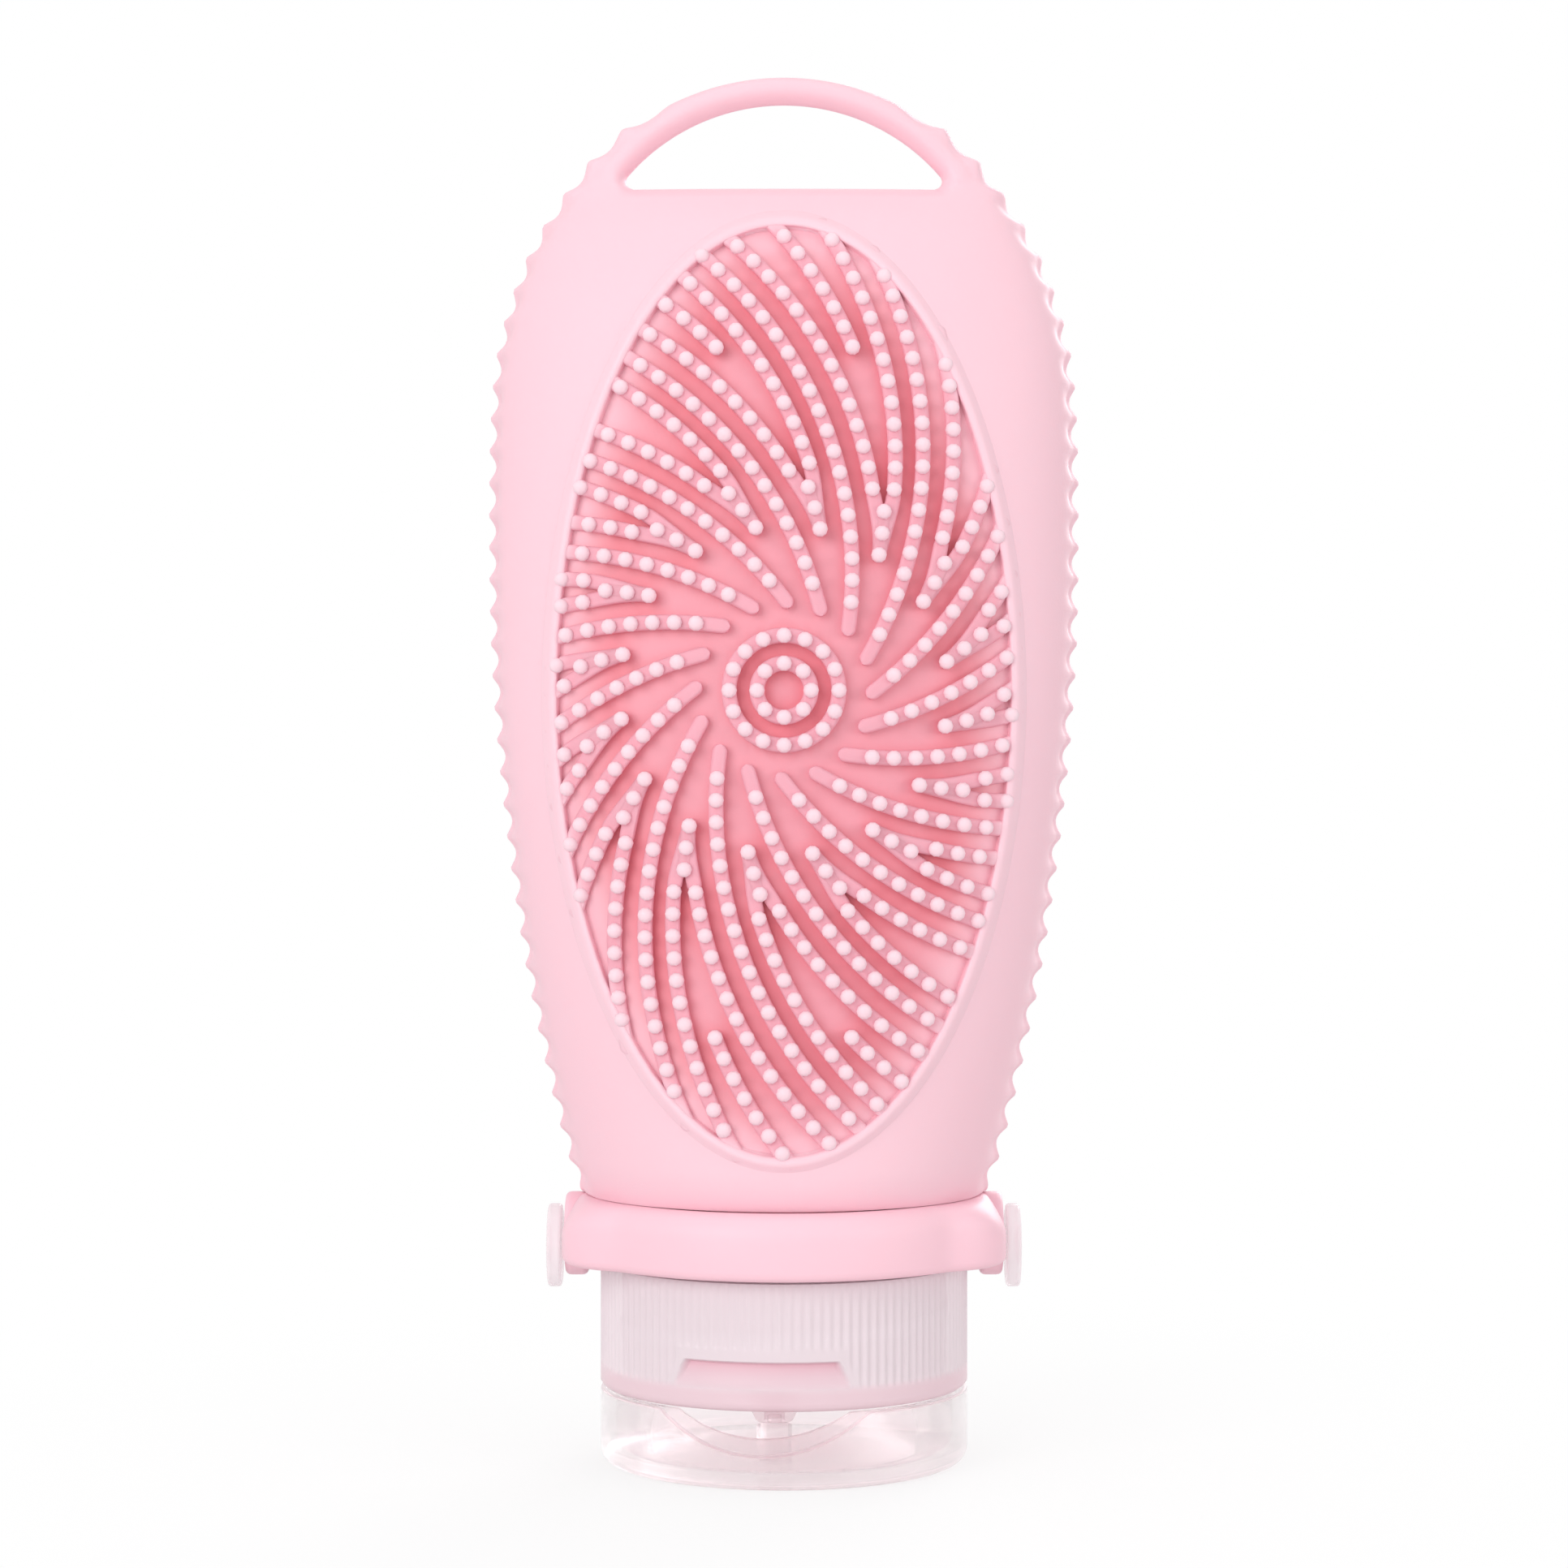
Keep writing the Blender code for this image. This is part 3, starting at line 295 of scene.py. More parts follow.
def rounded(profile, radius, steps=5):
    """Round the corners of an open profile: each inner corner becomes an arc between the points
    that lie a radius away along its two sides, or nearly halfway along a short side."""
    halfway = 2.001
    points = np.array(profile, float)
    out = [points[0]]
    for before, corner, after in zip(points, points[1:], points[2:]):
        back = before - corner
        ahead = after - corner
        back_length = np.linalg.norm(back)
        ahead_length = np.linalg.norm(ahead)
        reach = min(radius, back_length / halfway, ahead_length / halfway)
        start = corner + back / back_length * reach
        end = corner + ahead / ahead_length * reach
        u = np.linspace(0.0, 1.0, steps)[:, None]
        out.extend((1 - u) ** 2 * start + 2 * u * (1 - u) * corner + u * u * end)
    out.append(points[-1])
    return np.array(out)


def closed_ring(profile, radius, steps, centre=(0.0, 0.0)):
    """A turned ring with rounded edges: the profile starts and ends in the middle of the side
    between its first and its last point."""
    points = np.array(profile)
    start = (points[:1] + points[-1:]) / 2
    return turned(rounded(np.concatenate((start, points, start)), radius), steps, centre)


def repeated(points):
    """Points and faces of many equal grids at once, each closed around."""
    count, rows, columns = points.shape[:3]
    one = grid_faces(rows, columns, around=True)
    faces = one[None] + rows * columns * np.arange(count)[:, None, None]
    return points.reshape(-1, 3), faces.reshape(-1, 4)


# Materials

def new_material(name):
    """A material with its Principled shader and nodes at hand."""
    material = bpy.data.materials.new(name)
    material.use_nodes = True
    tree = material.node_tree
    return material, tree, tree.nodes["Principled BSDF"]


def feed(tree, node, values):
    """Give sockets their values: an output is linked, anything else is a constant."""
    for socket, value in values.items():
        if isinstance(value, bpy.types.NodeSocket):
            tree.links.new(value, node.inputs[socket])
        else:
            node.inputs[socket].default_value = value


def add_node(tree, kind, values, **settings):
    """A shader node with its settings and the values of its sockets. Gives its outputs."""
    node = tree.nodes.new("ShaderNode" + kind)
    for name, value in settings.items():
        setattr(node, name, value)
    feed(tree, node, values)
    return node.outputs


def object_place(tree):
    """Output of the Object coordinates."""
    return add_node(tree, "TexCoord", {})["Object"]


def noise(tree, place, scale, detail=2.0):
    """Output of a noise on the given coordinates."""
    return add_node(tree, "TexNoise", {"Vector": place, "Scale": scale, "Detail": detail})["Fac"]


def attribute(tree, name):
    """Output of one of the piece's own attributes."""
    return add_node(tree, "Attribute", {}, attribute_name=name)["Fac"]


def mapped(tree, share, low, high, start=0.0, end=1.0, kind="LINEAR"):
    """Output that goes from low to high as the share goes from start to end."""
    return add_node(tree, "MapRange", {"Value": share, "From Min": start, "From Max": end,
                                       "To Min": low, "To Max": high},
                    interpolation_type=kind)["Result"]


def mixed(tree, share, first, second):
    """Colour output that goes from the first to the second as the share goes from 0 to 1. The
    first is a colour or an output."""
    if not isinstance(first, bpy.types.NodeSocket):
        first = (*first, 1.0)
    return add_node(tree, "Mix", {"Factor": share, "A": first, "B": (*second, 1.0)},
                    data_type="RGBA")["Result"]


def combined(tree, operation, first, second):
    """Output of a sum on two outputs."""
    return add_node(tree, "Math", {0: first, 1: second}, operation=operation)["Value"]


def dimmed(tint, share):
    """A colour times a share."""
    return tuple(share * value for value in tint)


def add_grain(tree, shader, scale, strength, distance):
    """Fine moulded grain: noise that bumps the surface. Gives the coordinates that it uses."""
    place = object_place(tree)
    bump = add_node(tree, "Bump", {"Strength": strength, "Distance": distance,
                                   "Height": noise(tree, place, scale, 3.0)})
    feed(tree, shader, {"Normal": bump["Normal"]})
    return place


def silicone_material(name, first, second, roughness, softness=0.12, rim=None):
    """Satin silicone: soft light under the skin, faint mottling and a very fine grain. A rim
    is a second colour where the piece's attribute rise says so."""
    material, tree, shader = new_material(name)
    place = add_grain(tree, shader, 2600.0, 0.06, 0.0002)
    colour_out = mixed(tree, noise(tree, place, 60.0), first, second)
    if rim is not None:
        colour_out = mixed(tree, attribute(tree, "rise"), colour_out, rim)
    spread = 0.04
    rough = mapped(tree, noise(tree, place, 300.0), roughness - spread, roughness + spread)
    feed(tree, shader, {"Base Color": colour_out, "Roughness": rough, "Specular IOR Level": 0.22,
                        "Subsurface Weight": softness, "Subsurface Scale": 1.0,
                        "Subsurface Radius": (0.0020, 0.0010, 0.0010)})
    return material


def brush_material(colours):
    """Silicone of the brush floor: deeper between close ribs and the rim's colour at the rim,
    by the piece's own attributes. The darker groove colour is painted shade, and on the
    shallow floor next to the rim the rim's colour lightens that painted shade."""
    material, tree, shader = new_material("brush_floor_silicone")
    add_grain(tree, shader, 2600.0, 0.05, 0.0002)
    # Painted shade: the groove colour where the nubs stand close, and the rim's colour, as less
    # shade, on the shallow floor by the rim.
    floor = mixed(tree, attribute(tree, "nub_crowd_shade"), colours.open_floor, colours.groove)
    colour_out = mixed(tree, attribute(tree, "rise"), floor, colours.rim)
    feed(tree, shader, {"Base Color": colour_out, "Roughness": 0.5, "Subsurface Weight": 0.1,
                        "Subsurface Scale": 1.0, "Subsurface Radius": (0.0020, 0.0008, 0.0008)})
    return material


def plastic_material(name, tint, roughness, clearness, opacity, painted_seen_pink=None, patch=None):
    """See-through moulded plastic. Clearness is the share of light that it bends and lets
    through, blurred by its roughness, and opacity is the share that it doesn't let straight
    through. A second colour, painted pink of the pink parts seen in the plastic, goes where
    the piece's attribute pink says so, and a patch is a second pair of roughness and opacity
    where its attribute patch says so."""
    material, tree, shader = new_material(name)
    place = add_grain(tree, shader, 1200.0, 0.03, 0.0001)
    colour_out = mixed(tree, noise(tree, place, 120.0), tint, dimmed(tint, 0.985))
    # Painted pink: the pink parts seen in the plastic.
    if painted_seen_pink is not None:
        colour_out = mixed(tree, attribute(tree, "pink"), colour_out, painted_seen_pink)
    feed(tree, shader, {"Base Color": colour_out, "Roughness": roughness, "IOR": 1.25,
                        "Transmission Weight": clearness, "Alpha": opacity})
    if patch is not None:
        share = attribute(tree, "patch")
        feed(tree, shader, {"Roughness": mapped(tree, share, roughness, patch[0]),
                            "Alpha": mapped(tree, share, opacity, patch[1])})
    return material


# The flask

def follow(table, column, share):
    """A smooth cubic through one column of a table, read at any share of the height."""
    heights = table[:, 0]
    values = table[:, column]
    slopes = np.gradient(values, heights)
    i = np.clip(np.searchsorted(heights, share) - 1, 0, len(heights) - 2)
    span = heights[i + 1] - heights[i]
    u = np.clip((share - heights[i]) / span, 0.0, 1.0)
    start = (1 + 2 * u) * (1 - u) ** 2 * values[i] + u * (1 - u) ** 2 * span * slopes[i]
    end = u * u * (3 - 2 * u) * values[i + 1] + u * u * (u - 1) * span * slopes[i + 1]
    return start + end


def height_share(z):
    """Share of the flask's height at a height over the ground."""
    return (z - body_bottom) / body_height


def ease(share):
    """A smooth step from 0 to 1."""
    share = np.clip(share, 0.0, 1.0)
    return share * share * (3 - 2 * share)


def edge_half_width(z):
    """Half width over the scallops' tips."""
    return body_half_width * follow(outline_shares, 1, height_share(z))


def skin_depth(x, z):
    """Half depth of the flask at a place seen from the front: the section's half depth there
    times the sine of its angle, raised to the section's fullness, and drawn in at the foot by
    the square of the height still to go."""
    sizes = bpy.context.scene.bottle_sizes
    share = height_share(z)
    half_width = edge_half_width(z) - sizes.edge_depth
    sine = np.sqrt(np.clip(1.0 - (x / half_width) ** 2, 0.0, 1.0))
    full = body_half_depth * follow(section_shares, 1, share)
    depth = full * sine ** follow(section_shares, 2, share)
    to_go = np.clip(1 - (z - skin_bottom) / sizes.foot_height, 0.0, 1.0)
    return np.maximum(depth - sizes.foot_inset * to_go ** 2, 0.0)


def bend_in(distance, radius):
    """Share of the full thickness at a distance from an edge that is rounded to a radius."""
    near = np.clip(distance / radius, 0.0, 1.0)
    return np.sqrt(1.0 - (1.0 - near) ** 2)


def slot_corner_place():
    """Centre of the slot's right-hand corner arc, and the angle at which it meets the great
    arc that it touches from inside."""
    sizes = bpy.context.scene.bottle_sizes
    corner_z = sizes.slot_height + sizes.slot_corner
    rise = corner_z - (sizes.slot_top - sizes.slot_radius)
    corner_x = math.sqrt((sizes.slot_radius - sizes.slot_corner) ** 2 - rise ** 2)
    return corner_x, corner_z, math.atan2(rise, corner_x)


def slot_distance(x, z):
    """Distance from a point outside the hanging slot to it: to its flat floor, to the arc of
    its corner or to its great arc, whichever lies ahead."""
    sizes = bpy.context.scene.bottle_sizes
    corner_x, corner_z, meet = slot_corner_place()
    floor = sizes.slot_height - z
    from_x = np.abs(x) - corner_x
    from_z = z - corner_z
    corner = np.hypot(from_x, from_z) - sizes.slot_corner
    arc = np.hypot(x, z - (sizes.slot_top - sizes.slot_radius)) - sizes.slot_radius
    beside = np.where(np.arctan2(from_z, from_x) < meet, corner, arc)
    return np.maximum(np.where((from_x <= 0) & (from_z < 0), floor, beside), 0.0)


def half_thickness(x, z, from_edge):
    """Half thickness of the silicone: the flask, the thin edge plate and the loop's round bar
    blended by a cubic mean, and rounded off towards the edge and towards the slot. The bar
    fades in over a short way round the height of the slot's floor."""
    sizes = bpy.context.scene.bottle_sizes
    bar_fade = 0.0010
    tip_round = 0.0005
    plate = sizes.edge_thickness / 2 * bend_in(from_edge, sizes.edge_thickness / 2)
    beside = slot_distance(x, z)
    bar = sizes.loop_thickness / 2
    round_bar = bar * np.sqrt(np.clip(1 - (beside / bar - 1) ** 2, 0.0, 1.0))
    round_bar = round_bar * ease((z - sizes.slot_height + bar_fade) / (2 * bar_fade))
    joined = np.cbrt(skin_depth(x, z) ** 3 + plate ** 3 + round_bar ** 3)
    return joined * bend_in(beside, sizes.slot_round) * bend_in(from_edge, tip_round)


def scallop(z, from_edge, fade):
    """How far a scallop moves a point inwards: a wave with a slightly rounded tip at every
    pitch, felt only near the edge."""
    sizes = bpy.context.scene.bottle_sizes
    first_tip = body_top - 0.00565
    tip_round = 0.22
    turn = math.pi * (z - first_tip) / sizes.scallop_pitch
    wave = np.sqrt(np.sin(turn) ** 2 + tip_round ** 2) - tip_round
    wave = wave / (math.sqrt(1 + tip_round ** 2) - tip_round)
    return sizes.scallop_depth * wave * (1 - ease(from_edge / sizes.scallop_reach)) * fade


def across_shares():
    """Places across the flask from its middle to its edge: even as far as the slot's end, then
    crowded towards both ends of the strip that runs up into the loop. Gives the number of the
    place at which the strip starts too."""
    even = 33
    corner_x = slot_corner_place()[0]
    split = corner_x / edge_half_width(bpy.context.scene.bottle_sizes.slot_height)
    strip = (1 - np.cos(np.linspace(0.0, math.pi, 21))) / 2
    shares = np.concatenate((np.linspace(0.0, split, even + 1)[:-1], split + (1 - split) * strip))
    return shares, even


def flask_quarter():
    """Right-hand front quarter of the flask's skin: rows go up from the rim to the slot's
    floor, columns go from the middle to the scalloped edge."""
    sizes = bpy.context.scene.bottle_sizes
    shares, _ = across_shares()
    mouth_round = 0.0016
    end = 0.0018
    rows_each = 9
    foot = skin_bottom + end * (1 - np.cos(quarter_turn(9)))[:-1]
    plain = np.arange(skin_bottom + end, sizes.slot_height - end, sizes.scallop_pitch / rows_each)
    close = sizes.slot_height - end * np.cos(quarter_turn(11))
    z = np.concatenate((foot, plain, close))[:, None]
    half = edge_half_width(z)
    rim = bend_in(z - skin_bottom, mouth_round)
    half = half - sizes.edge_depth * (1 - rim)
    slope = np.gradient(half[:, 0], z[:, 0])[:, None]
    tilt = 1 / np.sqrt(1 + slope ** 2)
    x = shares * half
    from_edge = (half - x) * tilt
    z = np.broadcast_to(z, x.shape)
    depth = half_thickness(x, z, from_edge)
    move = scallop(z, from_edge, np.broadcast_to(rim, x.shape))
    return np.stack((x - move * tilt, -depth, z + move * tilt * slope), -1)


def loop_quarter():
    """Right-hand front quarter of the loop's skin: rows run from the slot's floor round to the
    top, columns go from the slot to the outer edge. The outer edge is a circle that widens
    towards the flask's shoulder."""
    sizes = bpy.context.scene.bottle_sizes
    widens_from, widens_over = 29.0, 9.5
    scallops_fade = 0.0026
    tiny = 1e-5
    corner_x, corner_z, meet = slot_corner_place()
    arc_centre = sizes.slot_top - sizes.slot_radius
    loop_centre = body_top - sizes.loop_radius
    start_x = edge_half_width(sizes.slot_height)
    start_rise = sizes.slot_height - loop_centre
    shoulder = math.hypot(start_x, start_rise)
    start_turn = math.atan2(start_x, start_rise)

    inner_turn = math.pi / 2 - meet
    offset = arc_centre - loop_centre
    ahead = offset * math.sin(meet)
    reach = -ahead + math.sqrt(ahead ** 2 - offset ** 2 + shoulder ** 2)
    end_turn = math.atan2(reach * math.cos(meet), offset + reach * math.sin(meet))
    corner_steps = np.linspace(0.0, 1.0, 24)[:-1]
    corner_turn = -math.pi / 2 + (meet + math.pi / 2) * corner_steps
    arc_turn = np.linspace(inner_turn, 0.0, 92)
    inner_x = np.concatenate((corner_x + sizes.slot_corner * np.cos(corner_turn),
                              sizes.slot_radius * np.sin(arc_turn)))
    inner_z = np.concatenate((corner_z + sizes.slot_corner * np.sin(corner_turn),
                              arc_centre + sizes.slot_radius * np.cos(arc_turn)))
    ray = np.sqrt(shoulder ** 2 - (offset * np.sin(arc_turn)) ** 2)
    ray = -offset * np.cos(arc_turn) + ray
    arc_outer = np.arctan2(ray * np.sin(arc_turn), offset + ray * np.cos(arc_turn))
    outer_turn = np.concatenate((start_turn + (end_turn - start_turn) * corner_steps, arc_outer))
    widened = ease((np.degrees(outer_turn) - widens_from) / widens_over)
    outer = sizes.loop_radius + (shoulder - sizes.loop_radius) * widened
    outer_x = outer * np.sin(outer_turn)
    outer_z = loop_centre + outer * np.cos(outer_turn)

    share, split = across_shares()
    strip = (share[split:] - share[split]) / (1 - share[split])
    x = inner_x[:, None] + (outer_x - inner_x)[:, None] * strip
    z = inner_z[:, None] + (outer_z - inner_z)[:, None] * strip
    run = np.stack((np.gradient(outer_x), np.gradient(outer_z)), -1)
    beside = edge_half_width(sizes.slot_height + np.array((-tiny, 0, tiny)))
    run[0] = (np.gradient(beside, tiny)[1], 1.0)
    run = run / np.linalg.norm(run, axis=1)[:, None]
    normal_x = np.abs(run[:, 1])[:, None]
    normal_z = np.abs(run[:, 0])[:, None]
    from_edge = (outer_x - inner_x)[:, None] * (1 - strip) * normal_x
    from_edge = from_edge + (outer_z - inner_z)[:, None] * (1 - strip) * normal_z
    depth = half_thickness(x, z, from_edge)
    fade = ease((body_top - scallops_fade - outer_z) / scallops_fade)[:, None]
    move = scallop(np.broadcast_to(outer_z[:, None], x.shape), from_edge, fade)
    return np.stack((x - move * normal_x, -depth, z - move * normal_z), -1)


def flask_inside():
    """The mouth, the sleeve and the cavity: closed sections from the rim inwards and up to the
    cavity's roof, each an ellipse of its own half width, half depth and fullness. The cavity
    lies a little further back than the flask."""
    shares, _ = across_shares()
    chamfer = 0.0003
    inner = 0.0163
    shoulder = inner + 0.0016
    low = body_low[2]
    ledge = body_bottom + gap
    cavity_low = body_bottom + 0.0069
    cavity_high = body_bottom + 0.0911
    wall = 0.0038
    shift = 0.0014
    roof_rise = 0.0049
    blunt = 0.3
    rows = [(radius, radius, 1.0, 0.0, height) for radius, height in (
        (sleeve_radius + 0.0004, skin_bottom), (sleeve_radius, skin_bottom - 0.0002),
        (sleeve_radius, low + chamfer), (sleeve_radius - chamfer, low), (inner + chamfer, low),
        (inner, low + chamfer), (inner, ledge), (shoulder, ledge),
        (shoulder, body_bottom + 0.0021))]
    for z in np.linspace(cavity_low, cavity_high, 34):
        share = height_share(z)
        depth = body_half_depth * float(follow(section_shares, 1, share)) - wall
        rows.append((float(edge_half_width(z)) - wall, depth,
                     float(follow(section_shares, 2, share)), shift, z))
    width, depth, power, _, top = rows[-1]
    for turn in quarter_turn(9)[1:]:
        rows.append((width * (blunt + (1 - blunt) * math.cos(turn)), depth * math.cos(turn),
                     power, shift, top + roof_rise * math.sin(turn)))
    width, depth, power, shift, height = np.array(rows).T[:, :, None]
    sine = np.sqrt(np.clip(1 - shares ** 2, 0.0, 1.0))
    reach = depth * sine ** power
    return [stacked(shares * width, side, height) for side in (shift - reach, shift + reach)]


def pattern_place(points):
    """Where points lie on the pattern's plane, along the lines of sight."""
    scale = 1 / (1 + points[..., 1] / view_distance)
    return points[..., 0] * scale, view_height + (points[..., 2] - view_height) * scale


def under_pad(points):
    """Sink the front skin below the brush pad. The step hides inside the pad's rim."""
    sizes = bpy.context.scene.bottle_sizes
    step_from, step_over = 0.0008, 0.0008
    spare = 0.0019
    across, up = pattern_place(points)
    inset = 1 - np.hypot(across / oval_half_width, (up - oval_centre) / oval_half_height)
    inset = inset * oval_half_width
    lowered = points.copy()
    lowered[..., 1] += (sizes.floor_depth + spare) * ease((inset - step_from) / step_over)
    return lowered


def mirrored(points, side):
    """The same grid on the other side of the plane X = 0, or where it is."""
    return points * np.array((side, 1.0, 1.0))


# The brush

def on_front(across, up, lift):
    """Carry a point of the pattern, which is laid out on the plane Y = 0, along the line of
    sight to the flask's front, a lift outside its skin."""
    depth = np.full(np.shape(across), body_half_depth)
    for _ in range(5):
        scale = 1 - depth / view_distance
        x = across * scale
        z = view_height + (up - view_height) * scale
        depth = skin_depth(x, z) + lift
    return x, z


def oval_inset(across, up):
    """Distance inside the oval of a point of the pattern, near enough close to its edge."""
    reach = np.hypot(across / oval_half_width, (up - oval_centre) / oval_half_height)
    steep = np.hypot(across / oval_half_width ** 2, (up - oval_centre) / oval_half_height ** 2)
    return (1 - reach) * reach / np.maximum(steep, 1e-9)


def arm_paths():
    """Every arm as (centre x, centre y, heading, first nub, rib start, most nubs), one row
    each: five kinds turned sixteen times."""
    radius = bpy.context.scene.bottle_sizes.turn_radius
    turn = full_turn(arm_count)
    rows = []
    for start, lead, back, polar, heading, most in arm_kinds:
        around = math.radians(polar) + turn
        towards = math.radians(heading) + turn
        x = start * radius * np.cos(around) - radius * np.sin(towards)
        y = start * radius * np.sin(around) + radius * np.cos(towards)
        rows.append(stacked(x, y, towards, lead * radius, -back * radius, most))
    return np.concatenate(rows)


def drawn_out(across, up):
    """The pattern's plane with its upper and lower ends drawn out a little, as the cube and
    the square of the distance from the rings."""
    lower_end, upper_end = 0.047, 0.050
    left, right, down = 0.00035, 0.00022, 0.00095
    below = np.maximum(brush_centre - up, 0.0) / lower_end
    above = np.maximum(up - brush_centre, 0.0) / upper_end
    return across - left * below ** 3 + right * above ** 2, up - down * below ** 3


def along_arm(arms, distance, offset):
    """Points of the arms: the arc of the turn radius, moved sideways by an offset. Distance and
    offset hold one row, or one grid, for each arm."""
    sizes = bpy.context.scene.bottle_sizes
    shape = (len(arms),) + (1,) * (np.ndim(distance) - 1)
    centre_x, centre_y, heading = (arms[:, i].reshape(shape) for i in range(3))
    angle = heading + distance / sizes.turn_radius
    radius = sizes.turn_radius - offset
    return drawn_out(centre_x + radius * np.sin(angle),
                     brush_centre + centre_y - radius * np.cos(angle))


def arm_ends(arms):
    """Where each rib ends: under the rim, or just past the last nub of a stem."""
    sizes = bpy.context.scene.bottle_sizes
    far = 0.075
    steps = 600
    reach = np.linspace(0.0, far, steps)[None, :].repeat(len(arms), axis=0)
    outside = oval_inset(*along_arm(arms, reach, 0.0)) < sizes.rim_width / 3
    crossing = np.where(outside.any(axis=1), outside.argmax(axis=1), steps - 1)
    stem = arms[:, 3] + (arms[:, 5] - 1) * sizes.nub_pitch + sizes.rib_width / 2
    return np.minimum(reach[0, crossing], stem)


def nub_places():
    """Centres of all nubs on the pattern's plane: along every arm at the nub pitch while they
    lie inside the rim, and round the two rings."""
    sizes = bpy.context.scene.bottle_sizes
    most = 40
    clear_of_rim = 0.0014
    arms = arm_paths()
    count = np.arange(most)
    across, up = along_arm(arms, arms[:, 3:4] + count * sizes.nub_pitch, 0.0)
    keep = (oval_inset(across, up) > clear_of_rim) & (count < arms[:, 5:6])
    keep &= np.cumsum(~keep, axis=1) == 0
    places = [np.stack((across[keep], up[keep]), -1)]
    for radius, number in zip((sizes.inner_ring, sizes.outer_ring), ring_nubs):
        places.append(circled(radius, full_turn(number), 0.0)[:, :2] + (0.0, brush_centre))
    return np.concatenate(places)


def nub_meshes():
    """Domed pegs: rings whose radius stays full and then falls as a quarter circle. Their feet
    are buried in the ribs."""
    sizes = bpy.context.scene.bottle_sizes
    buried = 0.0004
    dome = sizes.nub_radius * 0.85
    places = nub_places()
    top = sizes.rib_height - sizes.floor_depth + sizes.nub_height
    x, z = on_front(places[:, 0], places[:, 1], top)
    base = skin_depth(x, z) + sizes.rib_height - sizes.floor_depth
    turn = quarter_turn(5)
    radius = np.concatenate(((0.0, sizes.nub_radius), sizes.nub_radius * np.cos(turn)))
    rise = np.concatenate(((-buried, -buried), sizes.nub_height - dome + dome * np.sin(turn)))
    angle = full_turn(10)
    return repeated(stacked(x[:, None, None] + radius[:, None] * np.cos(angle),
                            -(base[:, None] + rise)[:, :, None],
                            z[:, None, None] + radius[:, None] * np.sin(angle)))


def rib_profile():
    """Across a rib: offsets as shares of its half width, and heights as shares from its foot to
    its top, with the shoulders rounded."""
    round_width, round_height = 0.5, 0.36
    foot = -0.15
    turn = quarter_turn(4)
    side = 1 - round_width + round_width * np.cos(turn)
    lift = 1 - round_height + round_height * np.sin(turn)
    offsets = np.concatenate(((-1.0,), -side, side[::-1], (1.0,)))
    lifts = np.concatenate(((foot,), lift, lift[::-1], (foot,)))
    return offsets, lifts


def rib_mesh(across_up, widths, sunk=0.0):
    """Sweep the rib's profile along paths: across_up gives a pattern point for an offset, and
    widths the half width at each station, which closes at the ends. Sunk is how much lower the
    rib stands than the others. Gives points and faces."""
    sizes = bpy.context.scene.bottle_sizes
    offsets, lifts = rib_profile()
    across, up = across_up(widths[:, :, None] * offsets)
    x, z = on_front(across, up, sizes.rib_height - sizes.floor_depth)
    lift = -sizes.floor_depth + sizes.rib_height * lifts - sunk
    return repeated(np.stack((x, -(skin_depth(x, z) + lift), z), -1))


def arm_ribs():
    """Ribs under the arms, with rounded ends: near an end the half width follows a circle."""
    sizes = bpy.context.scene.bottle_sizes
    arms = arm_paths()
    span = arm_ends(arms) - arms[:, 4]
    arms = arms[span > sizes.rib_width]
    span = span[span > sizes.rib_width][:, None]
    half = sizes.rib_width / 2
    cap = half * (1 - np.cos(quarter_turn(6)))
    middle = np.linspace(0.0, 1.0, 40)[1:-1]
    distance = np.concatenate((0 * span + cap, half + (span - 2 * half) * middle,
                               span - cap[::-1]), axis=1)
    widths = half * bend_in(np.minimum(distance, span - distance), half)
    place = (arms[:, 4:5] + distance)[:, :, None]
    return rib_mesh(lambda offset: along_arm(arms, place, offset), widths)


def arm_start(arms):
    """Place and direction of each arm's start, before the pattern's ends are drawn out."""
    radius = bpy.context.scene.bottle_sizes.turn_radius
    sine, cosine = np.sin(arms[:, 2]), np.cos(arms[:, 2])
    place = np.stack((arms[:, 0] + radius * sine, arms[:, 1] - radius * cosine), -1)
    return place[:, None], np.stack((cosine, sine), -1)[:, None]


def fork_ribs():
    """Ribs that join each stem to its two branches: cubic curves from the stem's first nub to
    the branch's first nub, which leave along the stem and arrive along the branch. Each set
    stands a little lower than the one before, so that no two tops share a plane."""
    sizes = bpy.context.scene.bottle_sizes
    stem, branches = 1, (2, 3)
    sink = 0.00005
    arms = arm_paths().reshape(len(arm_kinds), arm_count, -1)
    origin = np.zeros((arm_count, 1))
    inside = [oval_inset(*along_arm(arms[kind], origin, 0.0))[:, 0] for kind in branches]
    whole = np.min(inside, axis=0) > sizes.rim_width / 2
    steps = np.linspace(0.0, 1.0, 25)[:, None]
    half = sizes.rib_width / 2
    parts = []
    for order, kind in enumerate(branches, 1):
        first, leaving = arm_start(arms[stem][whole])
        last, arriving = arm_start(arms[kind][whole])
        third = np.linalg.norm(last - first, axis=-1, keepdims=True) / 3
        path = ((1 - steps) ** 3 * first + 3 * steps * (1 - steps) ** 2 * (first + third * leaving)
                + 3 * steps ** 2 * (1 - steps) * (last - third * arriving) + steps ** 3 * last)
        run = np.gradient(path, axis=1)
        run = run / np.linalg.norm(run, axis=-1, keepdims=True)
        hops = np.linalg.norm(np.diff(path, axis=1), axis=-1)
        gone = np.concatenate((np.zeros((len(path), 1)), np.cumsum(hops, axis=1)), axis=1)
        widths = half * bend_in(np.minimum(gone, gone[:, -1:] - gone), half)

        def across_up(offset):
            return drawn_out(path[..., 0, None] - offset * run[..., 1, None],
                             brush_centre + path[..., 1, None] + offset * run[..., 0, None])

        parts.append(rib_mesh(across_up, widths, sink * order))
    return join_grids(parts)


